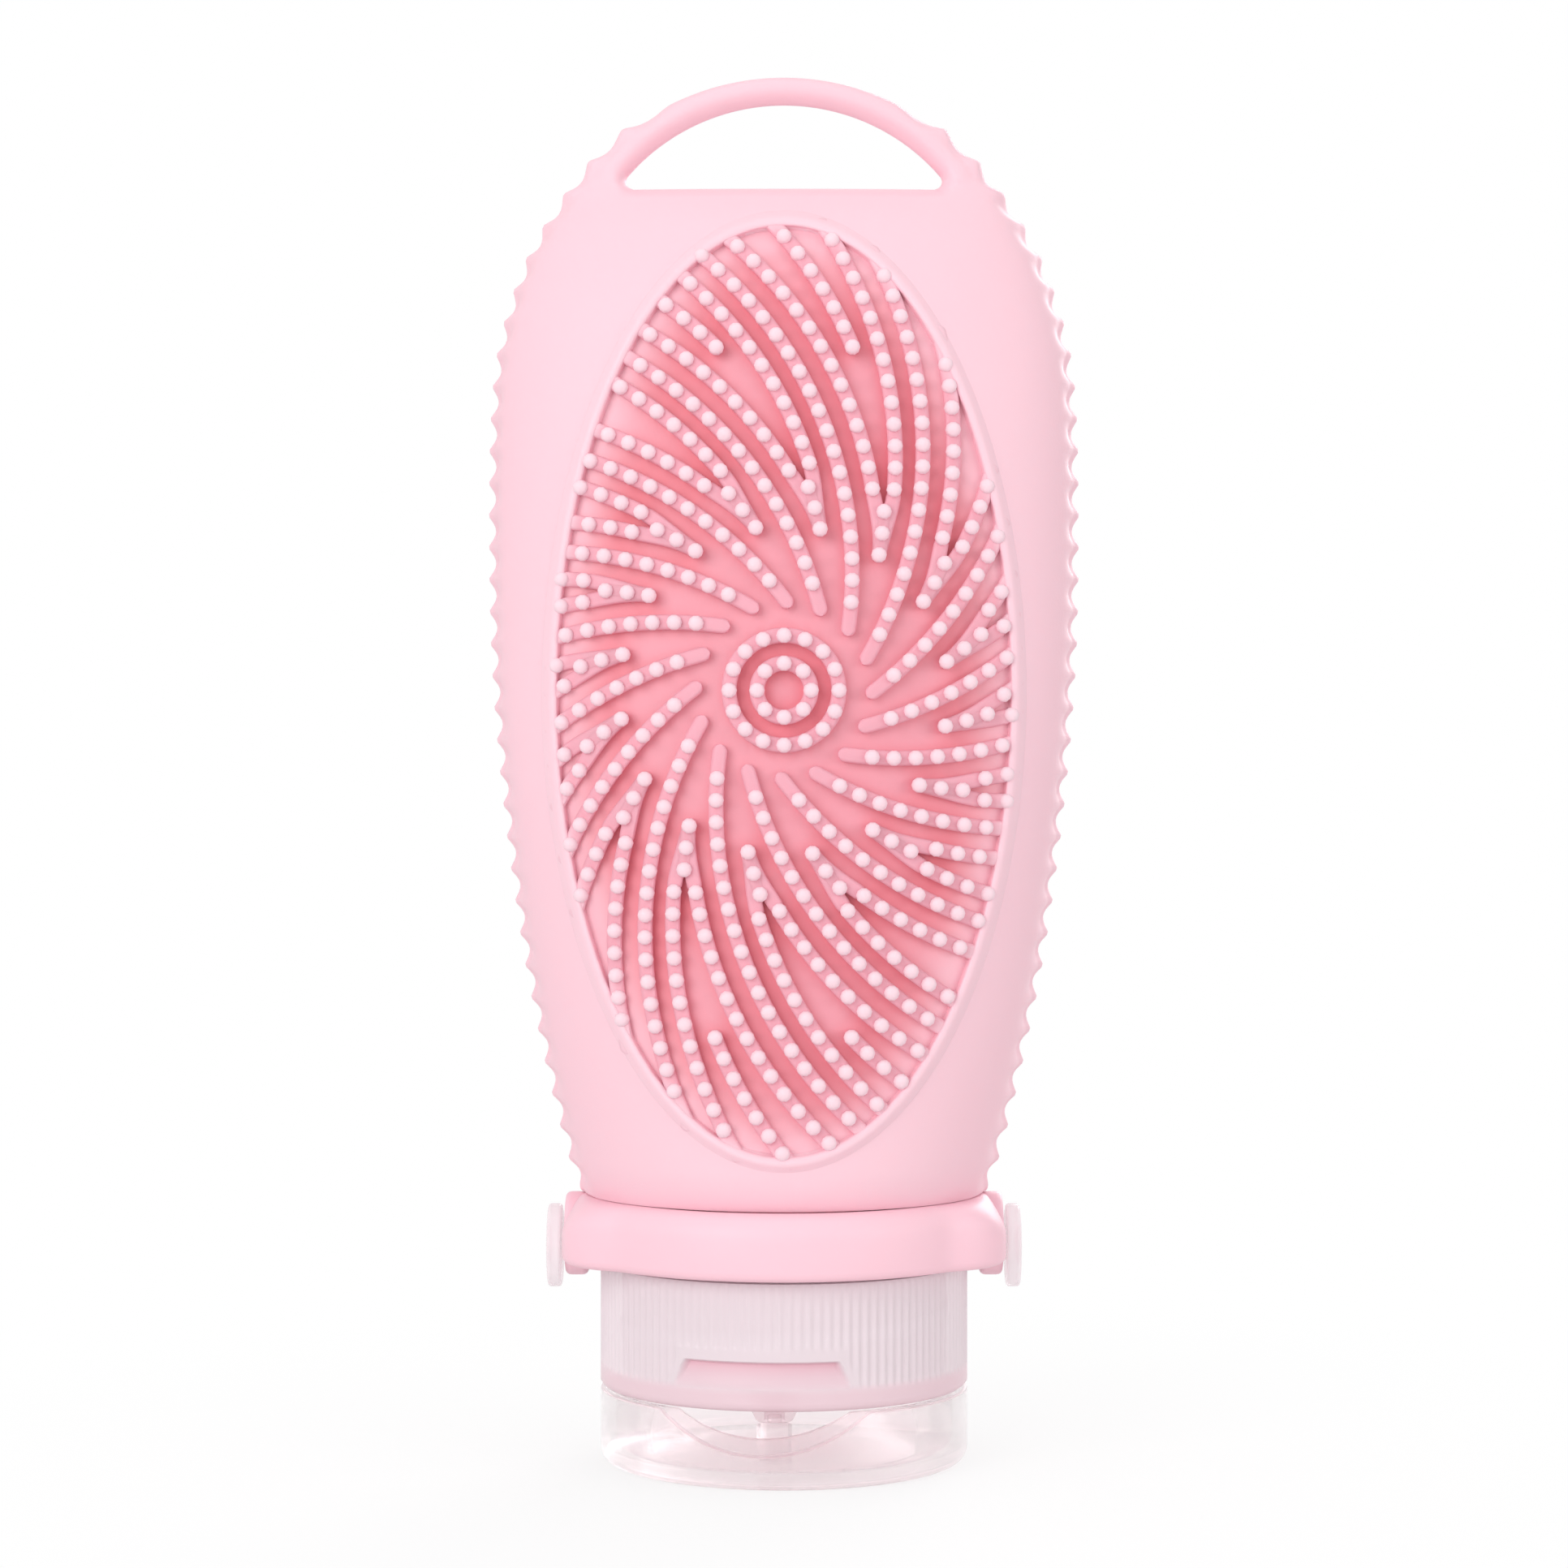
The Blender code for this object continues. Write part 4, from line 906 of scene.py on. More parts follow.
def ring_ribs():
    """The two rings in the middle of the brush."""
    sizes = bpy.context.scene.bottle_sizes
    steps = 96
    turn = (2 * math.pi * np.arange(steps + 1) / steps)[None, :, None]
    widths = np.full((1, steps + 1), sizes.rib_width / 2)
    parts = []
    for radius in (sizes.inner_ring, sizes.outer_ring):

        def across_up(offset):
            reach = radius - offset
            return reach * np.cos(turn), brush_centre + reach * np.sin(turn)

        parts.append(rib_mesh(across_up, widths))
    return join_grids(parts)


def up_to_rim(points):
    """Raise the ribs where they run into the rim. Gives the points and each one's share, which
    there takes away the ribs' painted shade and gives them the rim's colour.
    """
    rim_from, rim_over = 0.0014, 0.0018
    most = 0.0004
    share = 1 - ease((oval_inset(*pattern_place(points)) - rim_from) / rim_over)
    raised = points.copy()
    raised[:, 1] -= most * share
    return raised, share


def brush_floor():
    """The oval backing, its rim and the floor, as rings of one oval from the middle of the
    back round the rim to the middle of the floor. The rim rises gently from the flask as a
    squared sine and falls to the floor as a quarter of an ellipse. Rings near the edge keep
    their distance from it, and those further in shrink evenly. Gives the points, each one's
    share of the rim's colour, and how closely the nubs stand round it. The share is full on
    the rim; on the shallow floor next to it, it lightens the floor's painted shade. How
    closely the nubs stand sets the darker groove colour, a painted shade, where they crowd."""
    sizes = bpy.context.scene.bottle_sizes
    steps = 288
    width = sizes.rim_width
    back = -(sizes.floor_depth + 0.0013)
    crest = 0.6
    tucked = 0.00008
    foot = 0.0002
    floor_rise, floor_rises_over = 0.45, 0.0060
    # Where the floor is shallow near the rim, its painted shade gives way to the rim's colour.
    foot_pale, floor_pale = (0.8, 0.7), 0.65
    even_from = 0.8
    nub_reach = 0.0022
    crowd_from, crowd_over = 1.0, 1.8
    turn = quarter_turn(7)[1:]
    bead = np.concatenate((np.linspace(0.0, crest, 7), 1 - (1 - crest) * (1 - np.sin(turn))))
    rising = np.sin(math.pi / 2 * np.minimum(bead / crest, 1.0)) ** 2
    falling = np.sqrt(1 - np.clip((bead - crest) / (1 - crest), 0.0, 1.0) ** 2)
    bead_lift = sizes.rim_height * rising * falling
    bead_lift[0] = -tucked
    back_inset = (oval_half_width, 0.6 * oval_half_width, 0.3 * oval_half_width, 0.001, 0.0)
    floor_inset = (width + 0.00005, width + foot)
    open_inset = width + foot + (oval_half_width - width - foot) * np.linspace(0.0, 1.0, 34)[1:]
    inset = np.concatenate((back_inset, width * bead, floor_inset, open_inset))
    shallow = 1 - ease((open_inset - width) / floor_rises_over)
    open_lift = -sizes.floor_depth * (1 - floor_rise * shallow)
    lift = np.concatenate((np.full(len(back_inset), back), bead_lift,
                           (0.5 * open_lift[0], open_lift[0]), open_lift))
    angle = full_turn(steps)
    shrink = (oval_half_width - inset)[:, None] / oval_half_width
    tall = np.maximum(oval_half_height - inset, 0.0)[:, None]
    even = even_from * oval_half_width + oval_half_height - oval_half_width
    even = oval_half_height * shrink * even / (even_from * oval_half_height)
    tall = np.where(shrink < even_from, even, tall)
    across = (oval_half_width - inset)[:, None] * np.cos(angle)
    up = oval_centre + tall * np.sin(angle)
    x, z = on_front(across, up, 0.0)
    y = -(skin_depth(x, z) + lift[:, None])
    pale = np.concatenate((np.zeros(len(back_inset)), np.ones(len(bead)), foot_pale,
                           floor_pale * shallow))
    # Painted shade: how closely the nubs crowd round each point of the floor sets how much of the
    # darker groove colour it takes.
    nubs = nub_places()
    far = (across.reshape(-1, 1) - nubs[:, 0]) ** 2 + (up.reshape(-1, 1) - nubs[:, 1]) ** 2
    crowd = np.exp(-far / nub_reach ** 2).sum(axis=1)
    nub_crowd_shade = ease((crowd - crowd_from) / crowd_over)
    return np.stack((x, y, z), -1), np.repeat(pale, steps), nub_crowd_shade


# The stage

white = (1.0, 1.0, 1.0, 1.0)


def seen_directly(tree):
    """1 where a ray comes from the camera, a gloss or a see-through piece."""
    path = add_node(tree, "LightPath", {})
    seen = combined(tree, "MAXIMUM", path["Is Camera Ray"], path["Is Glossy Ray"])
    return combined(tree, "MAXIMUM", seen, path["Is Transmission Ray"])


def floor_material():
    """White floor that still takes a shadow: part lit surface, part plain white where seen, and
    whiter further from the bottle."""
    material, tree, shader = new_material("studio_floor")
    bounced, direct = (0.76, 0.75, 0.75), (0.95, 0.95, 0.95)
    near, far = 0.02, 0.14
    plain_near = 0.80
    seen = seen_directly(tree)
    albedo = mixed(tree, seen, bounced, direct)
    feed(tree, shader, {"Base Color": albedo, "Roughness": 0.9, "Specular IOR Level": 0.0})
    glow = add_node(tree, "Emission", {"Color": white, "Strength": 1.0})["Emission"]
    reach = add_node(tree, "VectorMath", {0: object_place(tree)}, operation="LENGTH")["Value"]
    whiter = mapped(tree, reach, plain_near, 1.0, near, far, "SMOOTHSTEP")
    share = combined(tree, "MULTIPLY", seen, whiter)
    mix = add_node(tree, "MixShader", {"Fac": share, 1: shader.outputs["BSDF"], 2: glow})
    feed(tree, tree.nodes["Material Output"], {"Surface": mix["Shader"]})
    return material


class BOTTLE_OT_stage(bpy.types.Operator):
    """Pale floor and white surroundings, soft lamps and the camera"""
    bl_idname = "bottle.make_stage"
    bl_label = "Stage, lamps and camera"

    def execute(self, context):
        scene = context.scene
        scene.view_settings.view_transform = "Standard"
        size = 3.0
        level = -0.00002
        dimmest = 0.62
        mesh = bpy.data.meshes.new("floor")
        mesh.from_pydata([(-size, -size, level), (size, -size, level), (size, size, level),
                          (-size, size, level)], [], [(0, 1, 2, 3)])
        mesh.materials.append(floor_material())
        floor = add_object("floor", mesh)

        camera_data = bpy.data.cameras.new("camera")
        camera_data.sensor_width = 36.0
        camera_data.lens = view_lens
        scene.camera = add_object("camera", camera_data)
        scene.camera.location = (0.0, -view_distance, view_height)
        scene.camera.rotation_euler = (math.pi / 2, 0.0, 0.0)

        # Each lamp: name, place, height on the Z axis that it points at, width in metres, watts
        for name, place, aim_height, width, power in (
                ("key", (-0.62, -0.88, 0.38), 0.08, 0.85, 5.6),
                ("fill", (0.84, -0.64, 0.06), 0.04, 0.80, 3.6),
                ("top", (0.0, -0.10, 0.95), 0.08, 0.70, 1.1),
                ("back", (0.38, 0.88, 0.45), 0.07, 0.60, 4.0)):
            lamp_data = bpy.data.lights.new(name, "AREA")
            lamp_data.shape = "DISK"
            lamp_data.size = width
            lamp_data.energy = power
            lamp = add_object(name, lamp_data)
            x, y, z = np.array((0.0, 0.0, aim_height)) - np.array(place)
            lamp.location = place
            lamp.rotation_euler = (math.pi / 2 + math.atan2(z, math.hypot(x, y)), 0.0,
                                   math.atan2(-x, y))

        world = bpy.data.worlds.new("white_studio")
        scene.world = world
        world.use_nodes = True
        tree = world.node_tree
        strength = mapped(tree, seen_directly(tree), dimmest, 1.0)
        feed(tree, tree.nodes["Background"], {"Color": white, "Strength": strength})
        return {"FINISHED"}


# The pieces

class BOTTLE_OT_flask(bpy.types.Operator):
    """Silicone flask with its scalloped edge, hanging loop, mouth and cavity"""
    bl_idname = "bottle.make_flask"
    bl_label = "Silicone flask"

    def execute(self, context):
        colours = context.scene.bottle_colours
        body = flask_quarter()
        loop = loop_quarter()
        front, back = flask_inside()
        to_back = np.array((1.0, -1.0, 1.0))
        quarters = (under_pad(body), body * to_back, loop, loop * to_back,
                    np.concatenate((body[:1], front)), np.concatenate((body[:1] * to_back, back)))
        points, faces = join_grids([(mirrored(quarter, side), grid_faces(*quarter.shape[:2]))
                                    for side in (1.0, -1.0) for quarter in quarters])
        silicone = silicone_material("pink_silicone", colours.silicone, colours.silicone_warm,
                                     0.52)
        skin = make_piece("flask_skin", points, faces, silicone, 40.0)
        settle(skin, "bottle", "silicone_body")
        return {"FINISHED"}


class BOTTLE_OT_brush(bpy.types.Operator):
    """Brush pad: oval floor with its rim, curved ribs and domed nubs"""
    bl_idname = "bottle.make_brush"
    bl_label = "Brush pad"

    def execute(self, context):
        colours = context.scene.bottle_colours
        # The floor's attributes carry its painted shade.
        points, rise, nub_crowd_shade = brush_floor()
        floor = make_piece("brush_floor", points, grid_faces(*points.shape[:2], around=True),
                           brush_material(colours), 40.0, {"rise": rise, "nub_crowd_shade": nub_crowd_shade})
        points, faces = join_grids((arm_ribs(), fork_ribs(), ring_ribs()))
        points, rise = up_to_rim(points)
        # The ribs' colour is painted shade between the nubs, which near the rim gives way to the
        # rim's colour.
        soft = silicone_material("brush_rib_silicone", colours.rib, dimmed(colours.rib, 0.97),
                                 0.5, rim=colours.rim)
        ribs = make_piece("brush_ribs", points, faces, soft, 40.0, {"rise": 0.8 * rise})
        soft = silicone_material("brush_nub_silicone", colours.nub, dimmed(colours.nub, 0.98), 0.5)
        nubs = make_piece("brush_nubs", *nub_meshes(), soft, 40.0)
        for piece in (floor, ribs, nubs):
            settle(piece, "bottle", "brush_pad")
        return {"FINISHED"}


def helix(root, crest, start_height, start_turn):
    """A thread's ridge: a trapezium carried along a helix, faded in and out at its ends."""
    root_width, crest_width = 0.0016, 0.0008
    steps_each_turn = 72
    ends_fade = 12
    end_height, end_width = 0.02, 0.05
    share = np.linspace(0.0, 1.0, int(thread_turns * steps_each_turn) + 1)[:, None]
    angle = 2 * math.pi * (start_turn + thread_turns * share)
    height = start_height + thread_pitch * thread_turns * share
    fade = ease(np.minimum(share, 1 - share) * ends_fade)
    radius = np.array((root, crest, crest, root))
    radius = root + (radius - root) * np.maximum(fade, end_height)
    spread = np.array((-root_width, -crest_width, crest_width, root_width)) / 2
    points = circled(radius, angle, height + spread * np.maximum(fade, end_width))
    ends = points[[0, -1]].mean(axis=1, keepdims=True).repeat(4, axis=1)
    points = np.concatenate((ends[:1], points, ends[1:]))
    return points, grid_faces(len(points), 4, around=True)


class BOTTLE_OT_neck(bpy.types.Operator):
    """Neck insert with its thread, and the seal ring under it"""
    bl_idname = "bottle.make_neck"
    bl_label = "Neck insert and seal"

    def execute(self, context):
        colours = context.scene.bottle_colours
        low, high = neck_low[2], neck_high[2]
        flange_low = collar_low[2] + 0.0021
        flange_high = flange_low + 0.0009
        bead_low = body_bottom + 2 * gap
        bead = neck_radius + 0.0013
        profile = ((neck_bore, low), (neck_radius, low), (neck_radius, flange_low),
                   (sleeve_radius, flange_low), (sleeve_radius, flange_high),
                   (neck_radius, flange_high), (neck_radius, bead_low), (bead, bead_low),
                   (bead - 0.0004, high), (neck_bore, high))
        thread = helix(neck_radius - 0.0004, neck_radius + 0.0012, low + 0.0021, 0.0)
        points, faces = join_grids((closed_ring(profile, 0.00025, 128), thread))
        frosted = plastic_material("frosted_neck_plastic", colours.frosted, 0.35, 0.0, 0.30)
        neck = make_piece("neck_tube", points, faces, frosted)
        settle(neck, "bottle", "neck_insert")

        low, high = seal_low[2], seal_high[2]
        outer = 0.0172
        profile = ((neck_bore, low), (outer, low), (outer, high), (neck_bore, high))
        rubber = plastic_material("seal_rubber", colours.seal, 0.5, 0.0, 0.3)
        seal = make_piece("seal_washer", *closed_ring(profile, 0.0003, 128), rubber)
        settle(seal, "seal", "seal_ring")
        return {"FINISHED"}


def sideways(points, side, height):
    """Turn a piece made along Z so that it points out of the given side at a height."""
    aside = np.stack((side * points[..., 2], points[..., 1], points[..., 0] * -side), -1)
    aside[..., 2] += height
    return aside


def lugs(points, bore, face):
    """Draw the collar's outer wall out to a flat face at each side, which fades back into the
    circle away from the X axis, and lower the top of its outer edge there. Angles are in
    degrees."""
    face_until, face_over, steepest = 42.0, 26.0, 60.0
    drop_until, drop_over = 34.0, 16.0
    drop_from, drop_reach, most = 0.0212, 0.0016, 0.0011
    x, y, z = np.moveaxis(points, -1, 0)
    radius = np.hypot(x, y)
    turn = np.degrees(np.arctan2(np.abs(y), np.abs(x)))
    outer = np.clip((radius - bore) / (collar_radius - bore), 0.0, 1.0)
    out = face / np.cos(np.radians(np.minimum(turn, steepest))) - collar_radius
    scale = 1 + outer * (out * ease((face_until - turn) / face_over)) / radius
    drop = most * ease((drop_until - turn) / drop_over) * ease((radius - drop_from) / drop_reach)
    middle = (collar_low[2] + collar_high[2]) / 2
    return np.stack((x * scale, y * scale, np.where(z > middle, z - drop, z)), -1)


class BOTTLE_OT_collar(bpy.types.Operator):
    """Pink collar with a lug and a round boss at each side, and the clear studs in them"""
    bl_idname = "bottle.make_collar"
    bl_label = "Collar and studs"

    def execute(self, context):
        colours = context.scene.bottle_colours
        boss_radius = 0.0045
        boss_centre = collar_low[2] + boss_radius
        boss_start = collar_radius - 0.0016
        boss_end = collar_radius + 0.0009
        dent_radius = 0.0026
        dent = 0.0003
        low = boss_centre - 0.0024
        high = collar_high[2]
        bore = 0.0192
        profile = ((bore, low), (collar_radius, low), (collar_radius, high - 0.0016),
                   (collar_radius - 0.0012, high), (bore, high))
        ring, faces = closed_ring(profile, 0.0010, 160)
        parts = [(lugs(ring, bore, boss_end), faces)]
        profile = ((0.0, boss_start), (boss_radius, boss_start), (boss_radius, boss_end),
                   (dent_radius, boss_end), (dent_radius, boss_end - dent), (0.0, boss_end - dent))
        boss, faces = turned(rounded(profile, 0.0007), 96)
        parts += [(sideways(boss, side, boss_centre), faces) for side in (-1.0, 1.0)]
        pink = silicone_material("pink_collar_plastic", colours.collar,
                                 dimmed(colours.collar, 0.985), 0.42, 0.06)
        collar = make_piece("collar_band", *join_grids(parts), pink)
        settle(collar, "bottle", "neck_collar")

        head_radius = 0.0045
        head_start = boss_end + 0.0004
        head_end = stud_high[0]
        dimple_radius, dimple_floor = 0.0024, 0.0019
        peg_radius = 0.0014
        peg_end = head_start - 0.0034
        profile = ((0.0, peg_end), (peg_radius, peg_end), (peg_radius, head_start),
                   (head_radius, head_start), (head_radius, head_end),
                   (dimple_radius, head_end), (dimple_floor, head_end - dent),
                   (0.0, head_end - dent))
        points, faces = turned(rounded(profile, 0.0004), 64)
        stud_centre = (stud_low[2] + stud_high[2]) / 2
        clear = plastic_material("clear_stud_plastic", colours.stud, 0.22, 0.0, 0.42)
        for side, name in ((-1.0, "left"), (1.0, "right")):
            stud = make_piece(name + "_stud", sideways(points, side, stud_centre), faces, clear)
            settle(stud, "stud_" + name, "side_stud_" + name)
        return {"FINISHED"}


def cap_turned(points):
    """Turn a piece made facing the front to where the cap stands on the bottle."""
    x = points[..., 0] * math.cos(cap_yaw) - points[..., 1] * math.sin(cap_yaw)
    y = points[..., 0] * math.sin(cap_yaw) + points[..., 1] * math.cos(cap_yaw)
    return np.stack((x, y, points[..., 2]), -1)


def cap_skirt():
    """The cap base: a profile carried round Z. Outside, fine upright ribs stand out as a cosine
    of the angle above the plain band. The thumb scoop is a trapezium at the front, pressed in
    deepest under its straight upper lip and running out to the band below, and the ribs stop
    short of it. Gives the points, the faces and the share of pink: painted pink of the pink
    parts seen in the plastic, and in the scoop a painted shadow that is deepest under its lip."""
    sizes = bpy.context.scene.bottle_sizes
    steps = sizes.grip_ribs * 8
    inner = 0.0176
    edge = 0.0002
    band_top = base_bottom + 0.0021
    scoop_low = base_bottom + 0.0023
    scoop_top = base_bottom + 0.0052
    scoop_half_width, scoop_narrows, scoop_depth = 0.0096, 0.0014, 0.0011
    soft_side, soft_lip = 0.0005, 0.0004
    beside_scoop, beside_over = 0.0003, 0.0010
    above_scoop, above_over = 0.0009, 0.0008
    below_top, below_over = 0.0004, 0.0005
    # Shares of painted pink, the pink parts seen in the plastic: on the band, at the scoop's foot,
    # under the cap and inside it.
    band_pink, scoop_pink, under_pink, inside_pink = 0.42, 0.35, 0.5, 0.2
    deck = base_bottom + 0.0018
    top = base_high[2]
    stations = [np.linspace(*station) for station in (
        (base_bottom + edge, base_bottom + edge, 1), (base_bottom + 0.0005, band_top, 5),
        (scoop_low, scoop_top - 0.0006, 9), (scoop_top - 0.0005, scoop_top + 0.0001, 7),
        (scoop_top + 0.0004, scoop_top + 0.0016, 5), (scoop_top + 0.0022, top - 0.0006, 4),
        (top - edge, top - edge, 1))]
    height = np.concatenate(stations)[:, None]
    angle = full_turn(steps)
    across = np.abs(cap_radius * np.cos(angle))
    front = np.sin(angle) < 0
    climb = np.clip((height - scoop_low) / (scoop_top - scoop_low), 0.0, 1.0)
    reach = scoop_half_width - scoop_narrows * climb
    window = ease((reach - across) / soft_side) * front
    window = window * ease((height - scoop_low) / soft_lip) * ease((scoop_top - height) / soft_lip)
    pressed = window * (0.15 + 0.85 * climb)
    clear_of_scoop = np.maximum(ease((across - reach - beside_scoop) / beside_over),
                                ease((height - scoop_top - above_scoop) / above_over))
    fade = np.where(front, clear_of_scoop, 1.0) * ease((height - band_top) / 0.0006)
    fade = fade * ease((top - below_top - height) / below_over)
    groove = 0.5 - 0.5 * np.cos(angle * sizes.grip_ribs)
    outer = cap_radius - fade * sizes.rib_depth * groove - scoop_depth * pressed
    outer[[0, -1]] -= edge
    under = [circled(radius, angle, base_bottom) for radius in (0.0, cap_radius - 0.0005)]
    inside = [circled(radius, angle, level) for radius, level in (
        (inner + edge, top), (inner, top - edge), (inner, deck), (0.0, deck))]
    points = np.concatenate((under, circled(outer, angle, height), inside))
    band = band_pink * (1 - ease((height - band_top + 0.0003) / 0.0010))
    # Painted shadow: in the scoop the pink deepens towards the lip.
    pink = np.maximum(band, window * (scoop_pink + (1 - scoop_pink) * climb ** 2))
    pink = np.concatenate((np.full((len(under), steps), under_pink), pink,
                           np.full((len(inside), steps), inside_pink)))
    return points, grid_faces(len(points), steps, around=True), pink


class BOTTLE_OT_cap(bpy.types.Operator):
    """Frosted cap base with grip ribs, nozzle and thread, and the valve parts inside it"""
    bl_idname = "bottle.make_cap"
    bl_label = "Cap base and valve"

    def execute(self, context):
        colours = context.scene.bottle_colours
        bore, radius, tip_radius = 0.0011, 0.0026, 0.0019
        root = base_bottom + 0.0002
        profile = ((bore, root), (radius, root), (radius, nozzle_tip + 0.0014),
                   (tip_radius, nozzle_tip), (bore, nozzle_tip))
        nozzle = closed_ring(profile, 0.0006, 64, nozzle_place)
        ridge = helix(0.0178, 0.0164, neck_low[2] + 0.0011, -0.75)
        points, faces, pink = cap_skirt()
        counts = (pink.size, nozzle[0].size // 3, ridge[0].size // 3)
        points, faces = join_grids(((points, faces), nozzle, ridge))
        # The nozzle takes half the painted pink and the thread none.
        pink = np.concatenate((pink.reshape(-1), np.repeat((0.5, 0.0), counts[1:])))
        thin = np.repeat((0.0, 1.0, 0.0), counts)
        frosted = plastic_material("frosted_cap_plastic", colours.frosted, 0.30, 0.0, 0.70,
                                   colours.painted_seen_pink, (0.30, 0.22))
        base = make_piece("cap_skirt", cap_turned(points), faces, frosted,
                          values={"pink": pink, "patch": thin})
        settle(base, "cap", "cap_base")

        low, high = valve_low[2], valve_high[2]
        radius = (valve_high[0] - valve_low[0]) / 2
        inside = radius - 0.0024
        thin_low, thin_high = high - 0.0010, high - 0.0002
        profile = ((0.0, thin_low), (inside, thin_low), (inside, low), (radius, low),
                   (radius, high), (inside, high), (inside - 0.0004, thin_high), (0.0, thin_high))
        points, faces = turned(rounded(profile, 0.0002), 128)
        soft = silicone_material("pink_valve_silicone", colours.valve,
                                 dimmed(colours.valve, 0.96), 0.5)
        valve = make_piece("valve_disc", points, faces, soft)
        settle(valve, "cap", "dosing_valve")

        low, high = retainer_low[2], retainer_high[2]
        outer = (retainer_high[0] - retainer_low[0]) / 2
        wall = outer - 0.0006
        lip = wall - 0.0032
        lip_low = high - 0.0013
        profile = ((wall, low), (outer, low), (outer, high), (lip, high), (lip, lip_low),
                   (wall, lip_low))
        frosted = plastic_material("frosted_retainer_plastic", colours.frosted, 0.35, 0.0, 0.3)
        retainer = make_piece("valve_holder", *closed_ring(profile, 0.0002, 128), frosted)
        settle(retainer, "cap", "valve_retainer")
        return {"FINISHED"}


def lid_shell():
    """The flip lid: a cup's profile carried round Z, from the middle of its outside over the
    rim to the middle of its floor. The rim dips as a circle's arc where the thumb notch goes
    through the front wall, higher inside than outside. Gives the points, the faces, the share
    of pink, which is painted pink of the pink parts seen in the clear plastic, and the share
    of frost."""
    sizes = bpy.context.scene.bottle_sizes
    steps = 384
    fillet = 0.0016
    soften = 0.0003
    bevel = 0.3 * soften
    floor, corner = 0.0015, 0.0012
    top = lid_high[2]
    wall = cap_radius - sizes.lid_wall
    half = sizes.notch_width / 2
    notch_radius = (half ** 2 + sizes.notch_depth ** 2) / (2 * sizes.notch_depth)
    notch_centre = top - sizes.notch_depth + notch_radius
    angle = full_turn(steps)

    def rim(radius, raised):
        across = radius * np.cos(angle)
        low = notch_centre - np.sqrt(np.maximum(notch_radius ** 2 - across ** 2, 0.0)) + raised
        return np.where((np.abs(across) < half) & (np.sin(angle) < 0), np.minimum(low, top), top)

    outer_rim = rim(cap_radius, 0.0)
    inner_rim = rim(wall, sizes.notch_slope)
    between = sizes.lid_wall - 2 * soften
    # Each row: radius, height, share of painted pink, share of frost
    rows = [(0.0, 0.0, 1.0, 0.3), (0.6 * cap_radius, 0.0, 0.9, 0.3),
            (cap_radius - fillet, 0.0, 0.8, 0.3)]
    rows += [(cap_radius - fillet + fillet * math.sin(turn), fillet * (1 - math.cos(turn)),
              0.8 - 0.5 * math.sin(turn), 0.3 * math.cos(turn))
             for turn in quarter_turn(7)[1:]]
    rows += [(cap_radius, fillet + (outer_rim - soften - fillet) * share, 0.15, 0.0)
             for share in (0.5, 0.9, 1.0)]
    rows += [(cap_radius - bevel, outer_rim - bevel, 0.45, 1.0),
             (cap_radius - soften, outer_rim, 0.3, 1.0)]
    rows += [(cap_radius - soften - share * between, outer_rim + share * (inner_rim - outer_rim),
              0.05, 0.25) for share in (0.2, 0.5, 0.8)]
    rows += [(wall + soften, inner_rim, 0.3, 1.0), (wall + bevel, inner_rim - bevel, 0.45, 1.0),
             (wall, inner_rim - soften, 0.1, 0.0),
             (wall, floor + corner + (inner_rim - soften - floor - corner) * 0.5, 0.1, 0.0)]
    rows += [(wall - corner + corner * math.cos(turn), floor + corner - corner * math.sin(turn),
              0.1 + 0.1 * math.sin(turn), 0.0) for turn in quarter_turn(6)]
    rows += [(0.6 * wall, floor, 0.25, 0.0), (0.3 * wall, floor, 0.8, 0.2), (0.0, floor, 1.0, 0.3)]
    points = np.stack([circled(radius, angle, height) for radius, height, _, _ in rows])
    pink = np.repeat([share for _, _, share, _ in rows], steps)
    frost = np.repeat([share for _, _, _, share in rows], steps)
    return points, grid_faces(len(rows), steps, around=True), pink, frost


def hinge_film():
    """The living hinge's thin film: a strip from the cap's wall round outside to the lid's,
    closed behind and at both ends."""
    width = 0.0110
    thickness = 0.0004
    across = np.linspace(-width / 2, width / 2, 9)
    cap_edge, lid_edge = base_bottom, lid_high[2]
    reach, height = np.array((
        (-0.0005, cap_edge + 0.0014), (0.0007, cap_edge + 0.0012), (0.0007, cap_edge + 0.0003),
        (0.0010, cap_edge + 0.0001), (0.0010, lid_edge - 0.0001), (0.0007, lid_edge - 0.0003),
        (0.0007, lid_edge - 0.0012), (-0.0005, lid_edge - 0.0014))).T[:, :, None]
    outer = stacked(across, cap_radius + reach, height)
    inner = outer[::-1].copy()
    inner[..., 1] = np.minimum(inner[..., 1] - thickness, cap_radius - 0.0002)
    loop = np.concatenate((outer, inner))
    middles = loop.mean(axis=0)
    shells = [loop] + [np.stack((loop[:, end], np.broadcast_to(middles[end], (len(loop), 3))), 1)
                       for end in (0, -1)]
    closed = [np.concatenate((grid, grid[:1])) for grid in shells]
    return join_grids([(grid, grid_faces(*grid.shape[:2])) for grid in closed])


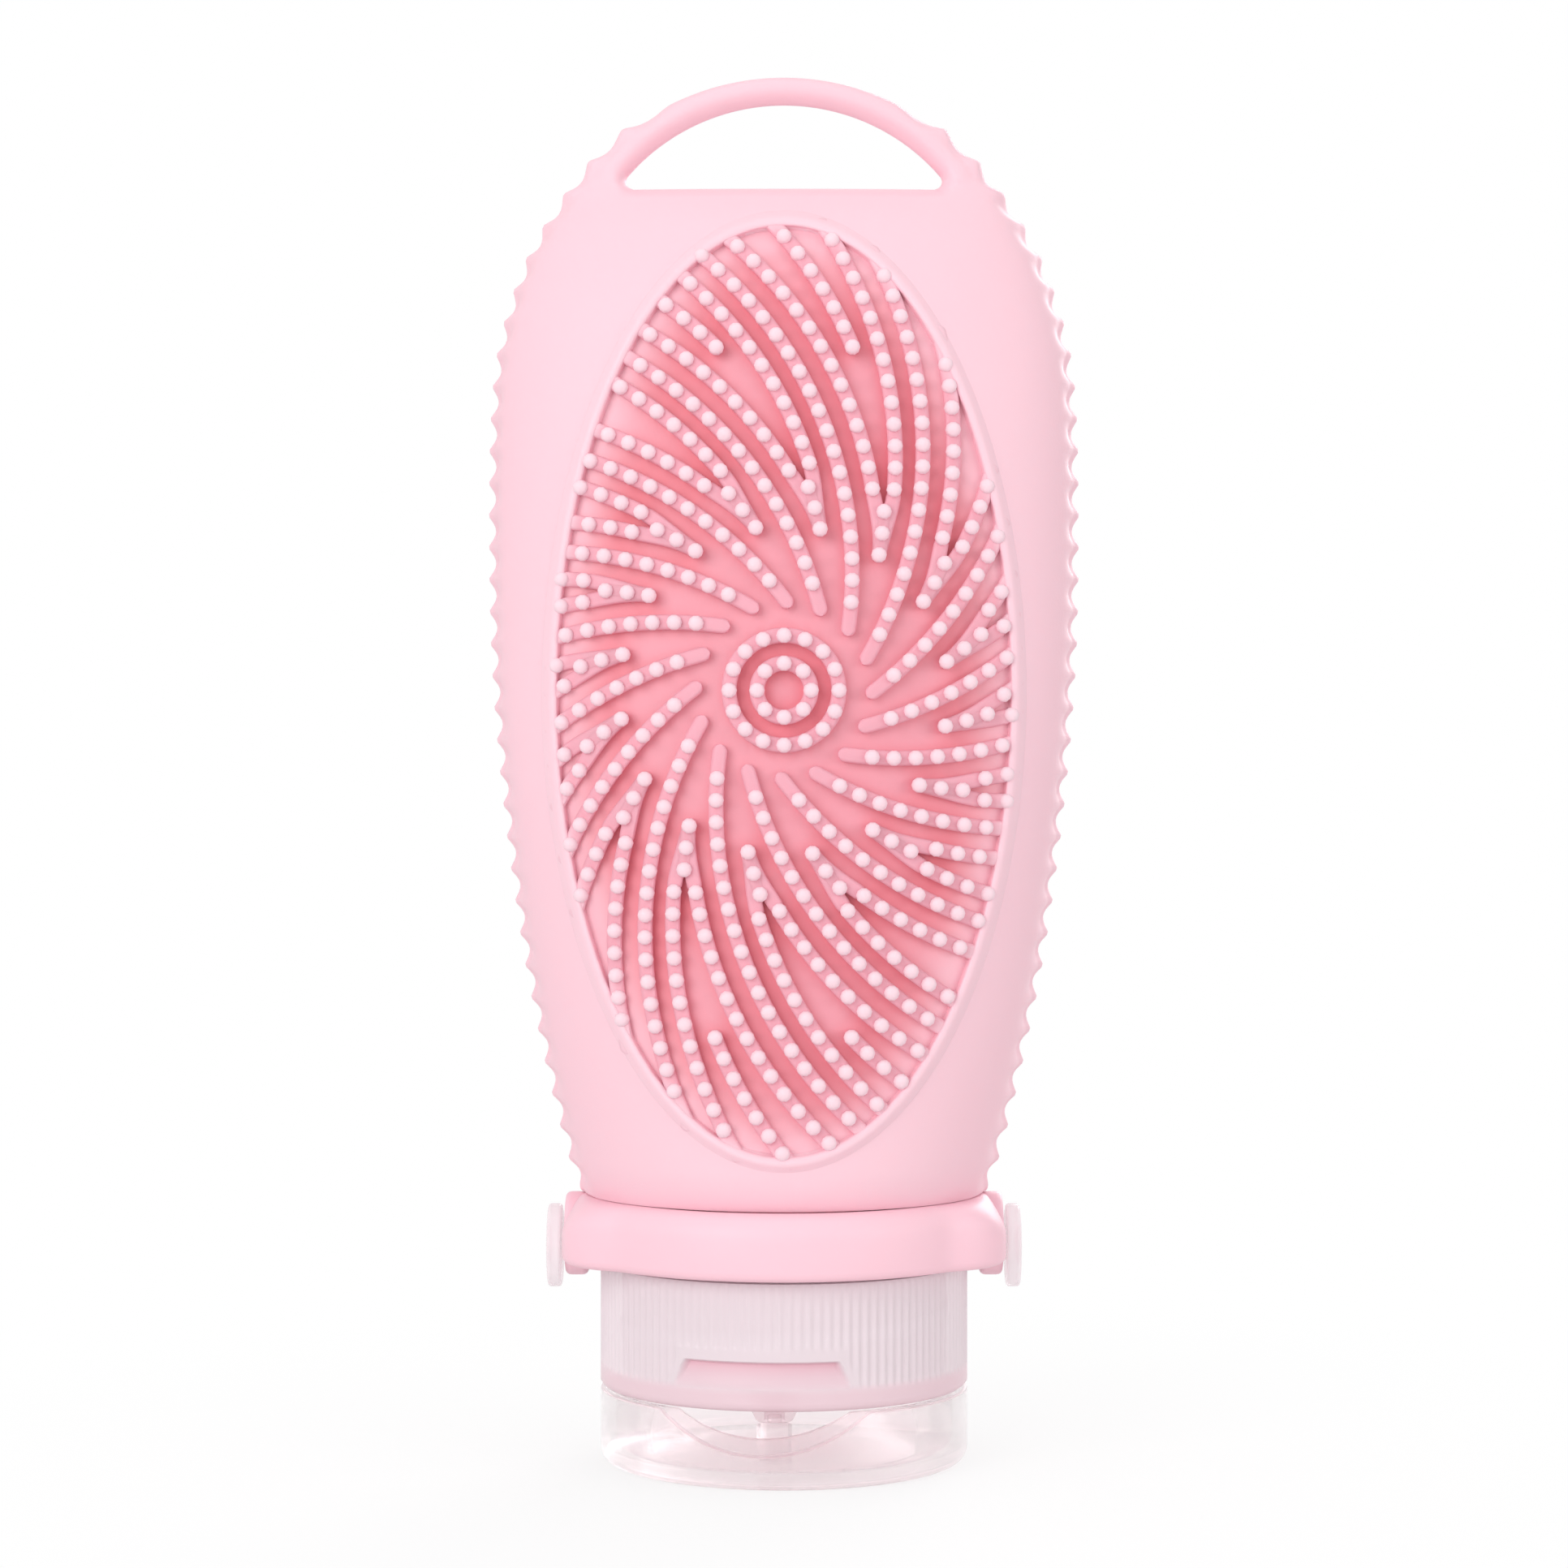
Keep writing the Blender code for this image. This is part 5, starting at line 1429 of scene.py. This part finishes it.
class BOTTLE_OT_lid(bpy.types.Operator):
    """Clear flip lid with its thumb notch and plug, and the living hinge"""
    bl_idname = "bottle.make_lid"
    bl_label = "Lid and hinge"

    def execute(self, context):
        colours = context.scene.bottle_colours
        plug_radius, pin_radius = 0.0019, 0.0008
        plug_root = 0.0010
        plug_top = nozzle_tip - gap
        pin_top = nozzle_tip + 0.0007
        profile = ((0.0, plug_root), (plug_radius, plug_root), (plug_radius, plug_top),
                   (pin_radius, plug_top), (pin_radius, pin_top), (0.0, pin_top))
        plug = turned(rounded(profile, 0.0002), 48, nozzle_place)
        points, faces, pink, frost = lid_shell()
        points, faces = join_grids(((points, faces), plug))
        pink, frost = (np.pad(share, (0, len(points) - len(share))) for share in (pink, frost))
        # Painted pink of the pink parts seen in the clear lid, where its attribute pink says so.
        clear = plastic_material("clear_lid_plastic", colours.clear, 0.13, 0.86, 0.38,
                                 colours.painted_seen_pink, (0.35, 0.80))
        lid = make_piece("lid_cup", cap_turned(points), faces, clear,
                         values={"pink": pink, "patch": frost})
        settle(lid, "lid", "cap_lid")

        points, faces = hinge_film()
        film = make_piece("hinge_film", cap_turned(points), faces, plastic_material(
            "hinge_film_plastic", colours.frosted, 0.3, 0.0, 0.6), 40.0)
        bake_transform(film)
        return {"FINISHED"}


steps_in_order = (BOTTLE_OT_stage, BOTTLE_OT_flask, BOTTLE_OT_brush, BOTTLE_OT_neck,
                  BOTTLE_OT_collar, BOTTLE_OT_cap, BOTTLE_OT_lid)


class BOTTLE_PT_panel(bpy.types.Panel):
    """Lists the steps that build the bottle, with its sizes and colours"""
    bl_idname = "BOTTLE_PT_panel"
    bl_label = "Dispenser bottle"
    bl_space_type = "VIEW_3D"
    bl_region_type = "UI"
    bl_category = "Bottle"

    def draw(self, context):
        for step in steps_in_order:
            self.layout.operator(step.bl_idname)
        for group in (context.scene.bottle_sizes, context.scene.bottle_colours):
            box = self.layout.box()
            for name in group.__annotations__:
                box.prop(group, name)


classes = (BottleSizes, BottleColours) + steps_in_order + (BOTTLE_PT_panel,)


def register():
    """Register the classes and hang the sizes and colours on the scene."""
    for item in classes:
        bpy.utils.register_class(item)
    bpy.types.Scene.bottle_sizes = bpy.props.PointerProperty(type=BottleSizes)
    bpy.types.Scene.bottle_colours = bpy.props.PointerProperty(type=BottleColours)


def unregister():
    """Take the classes and their settings away again."""
    del bpy.types.Scene.bottle_colours
    del bpy.types.Scene.bottle_sizes
    for item in reversed(classes):
        bpy.utils.unregister_class(item)


def main():
    """Build the stage and every piece."""
    register()
    bpy.ops.bottle.make_stage()
    bpy.ops.bottle.make_flask()
    bpy.ops.bottle.make_brush()
    bpy.ops.bottle.make_neck()
    bpy.ops.bottle.make_collar()
    bpy.ops.bottle.make_cap()
    bpy.ops.bottle.make_lid()


if __name__ == "__main__":
    main()
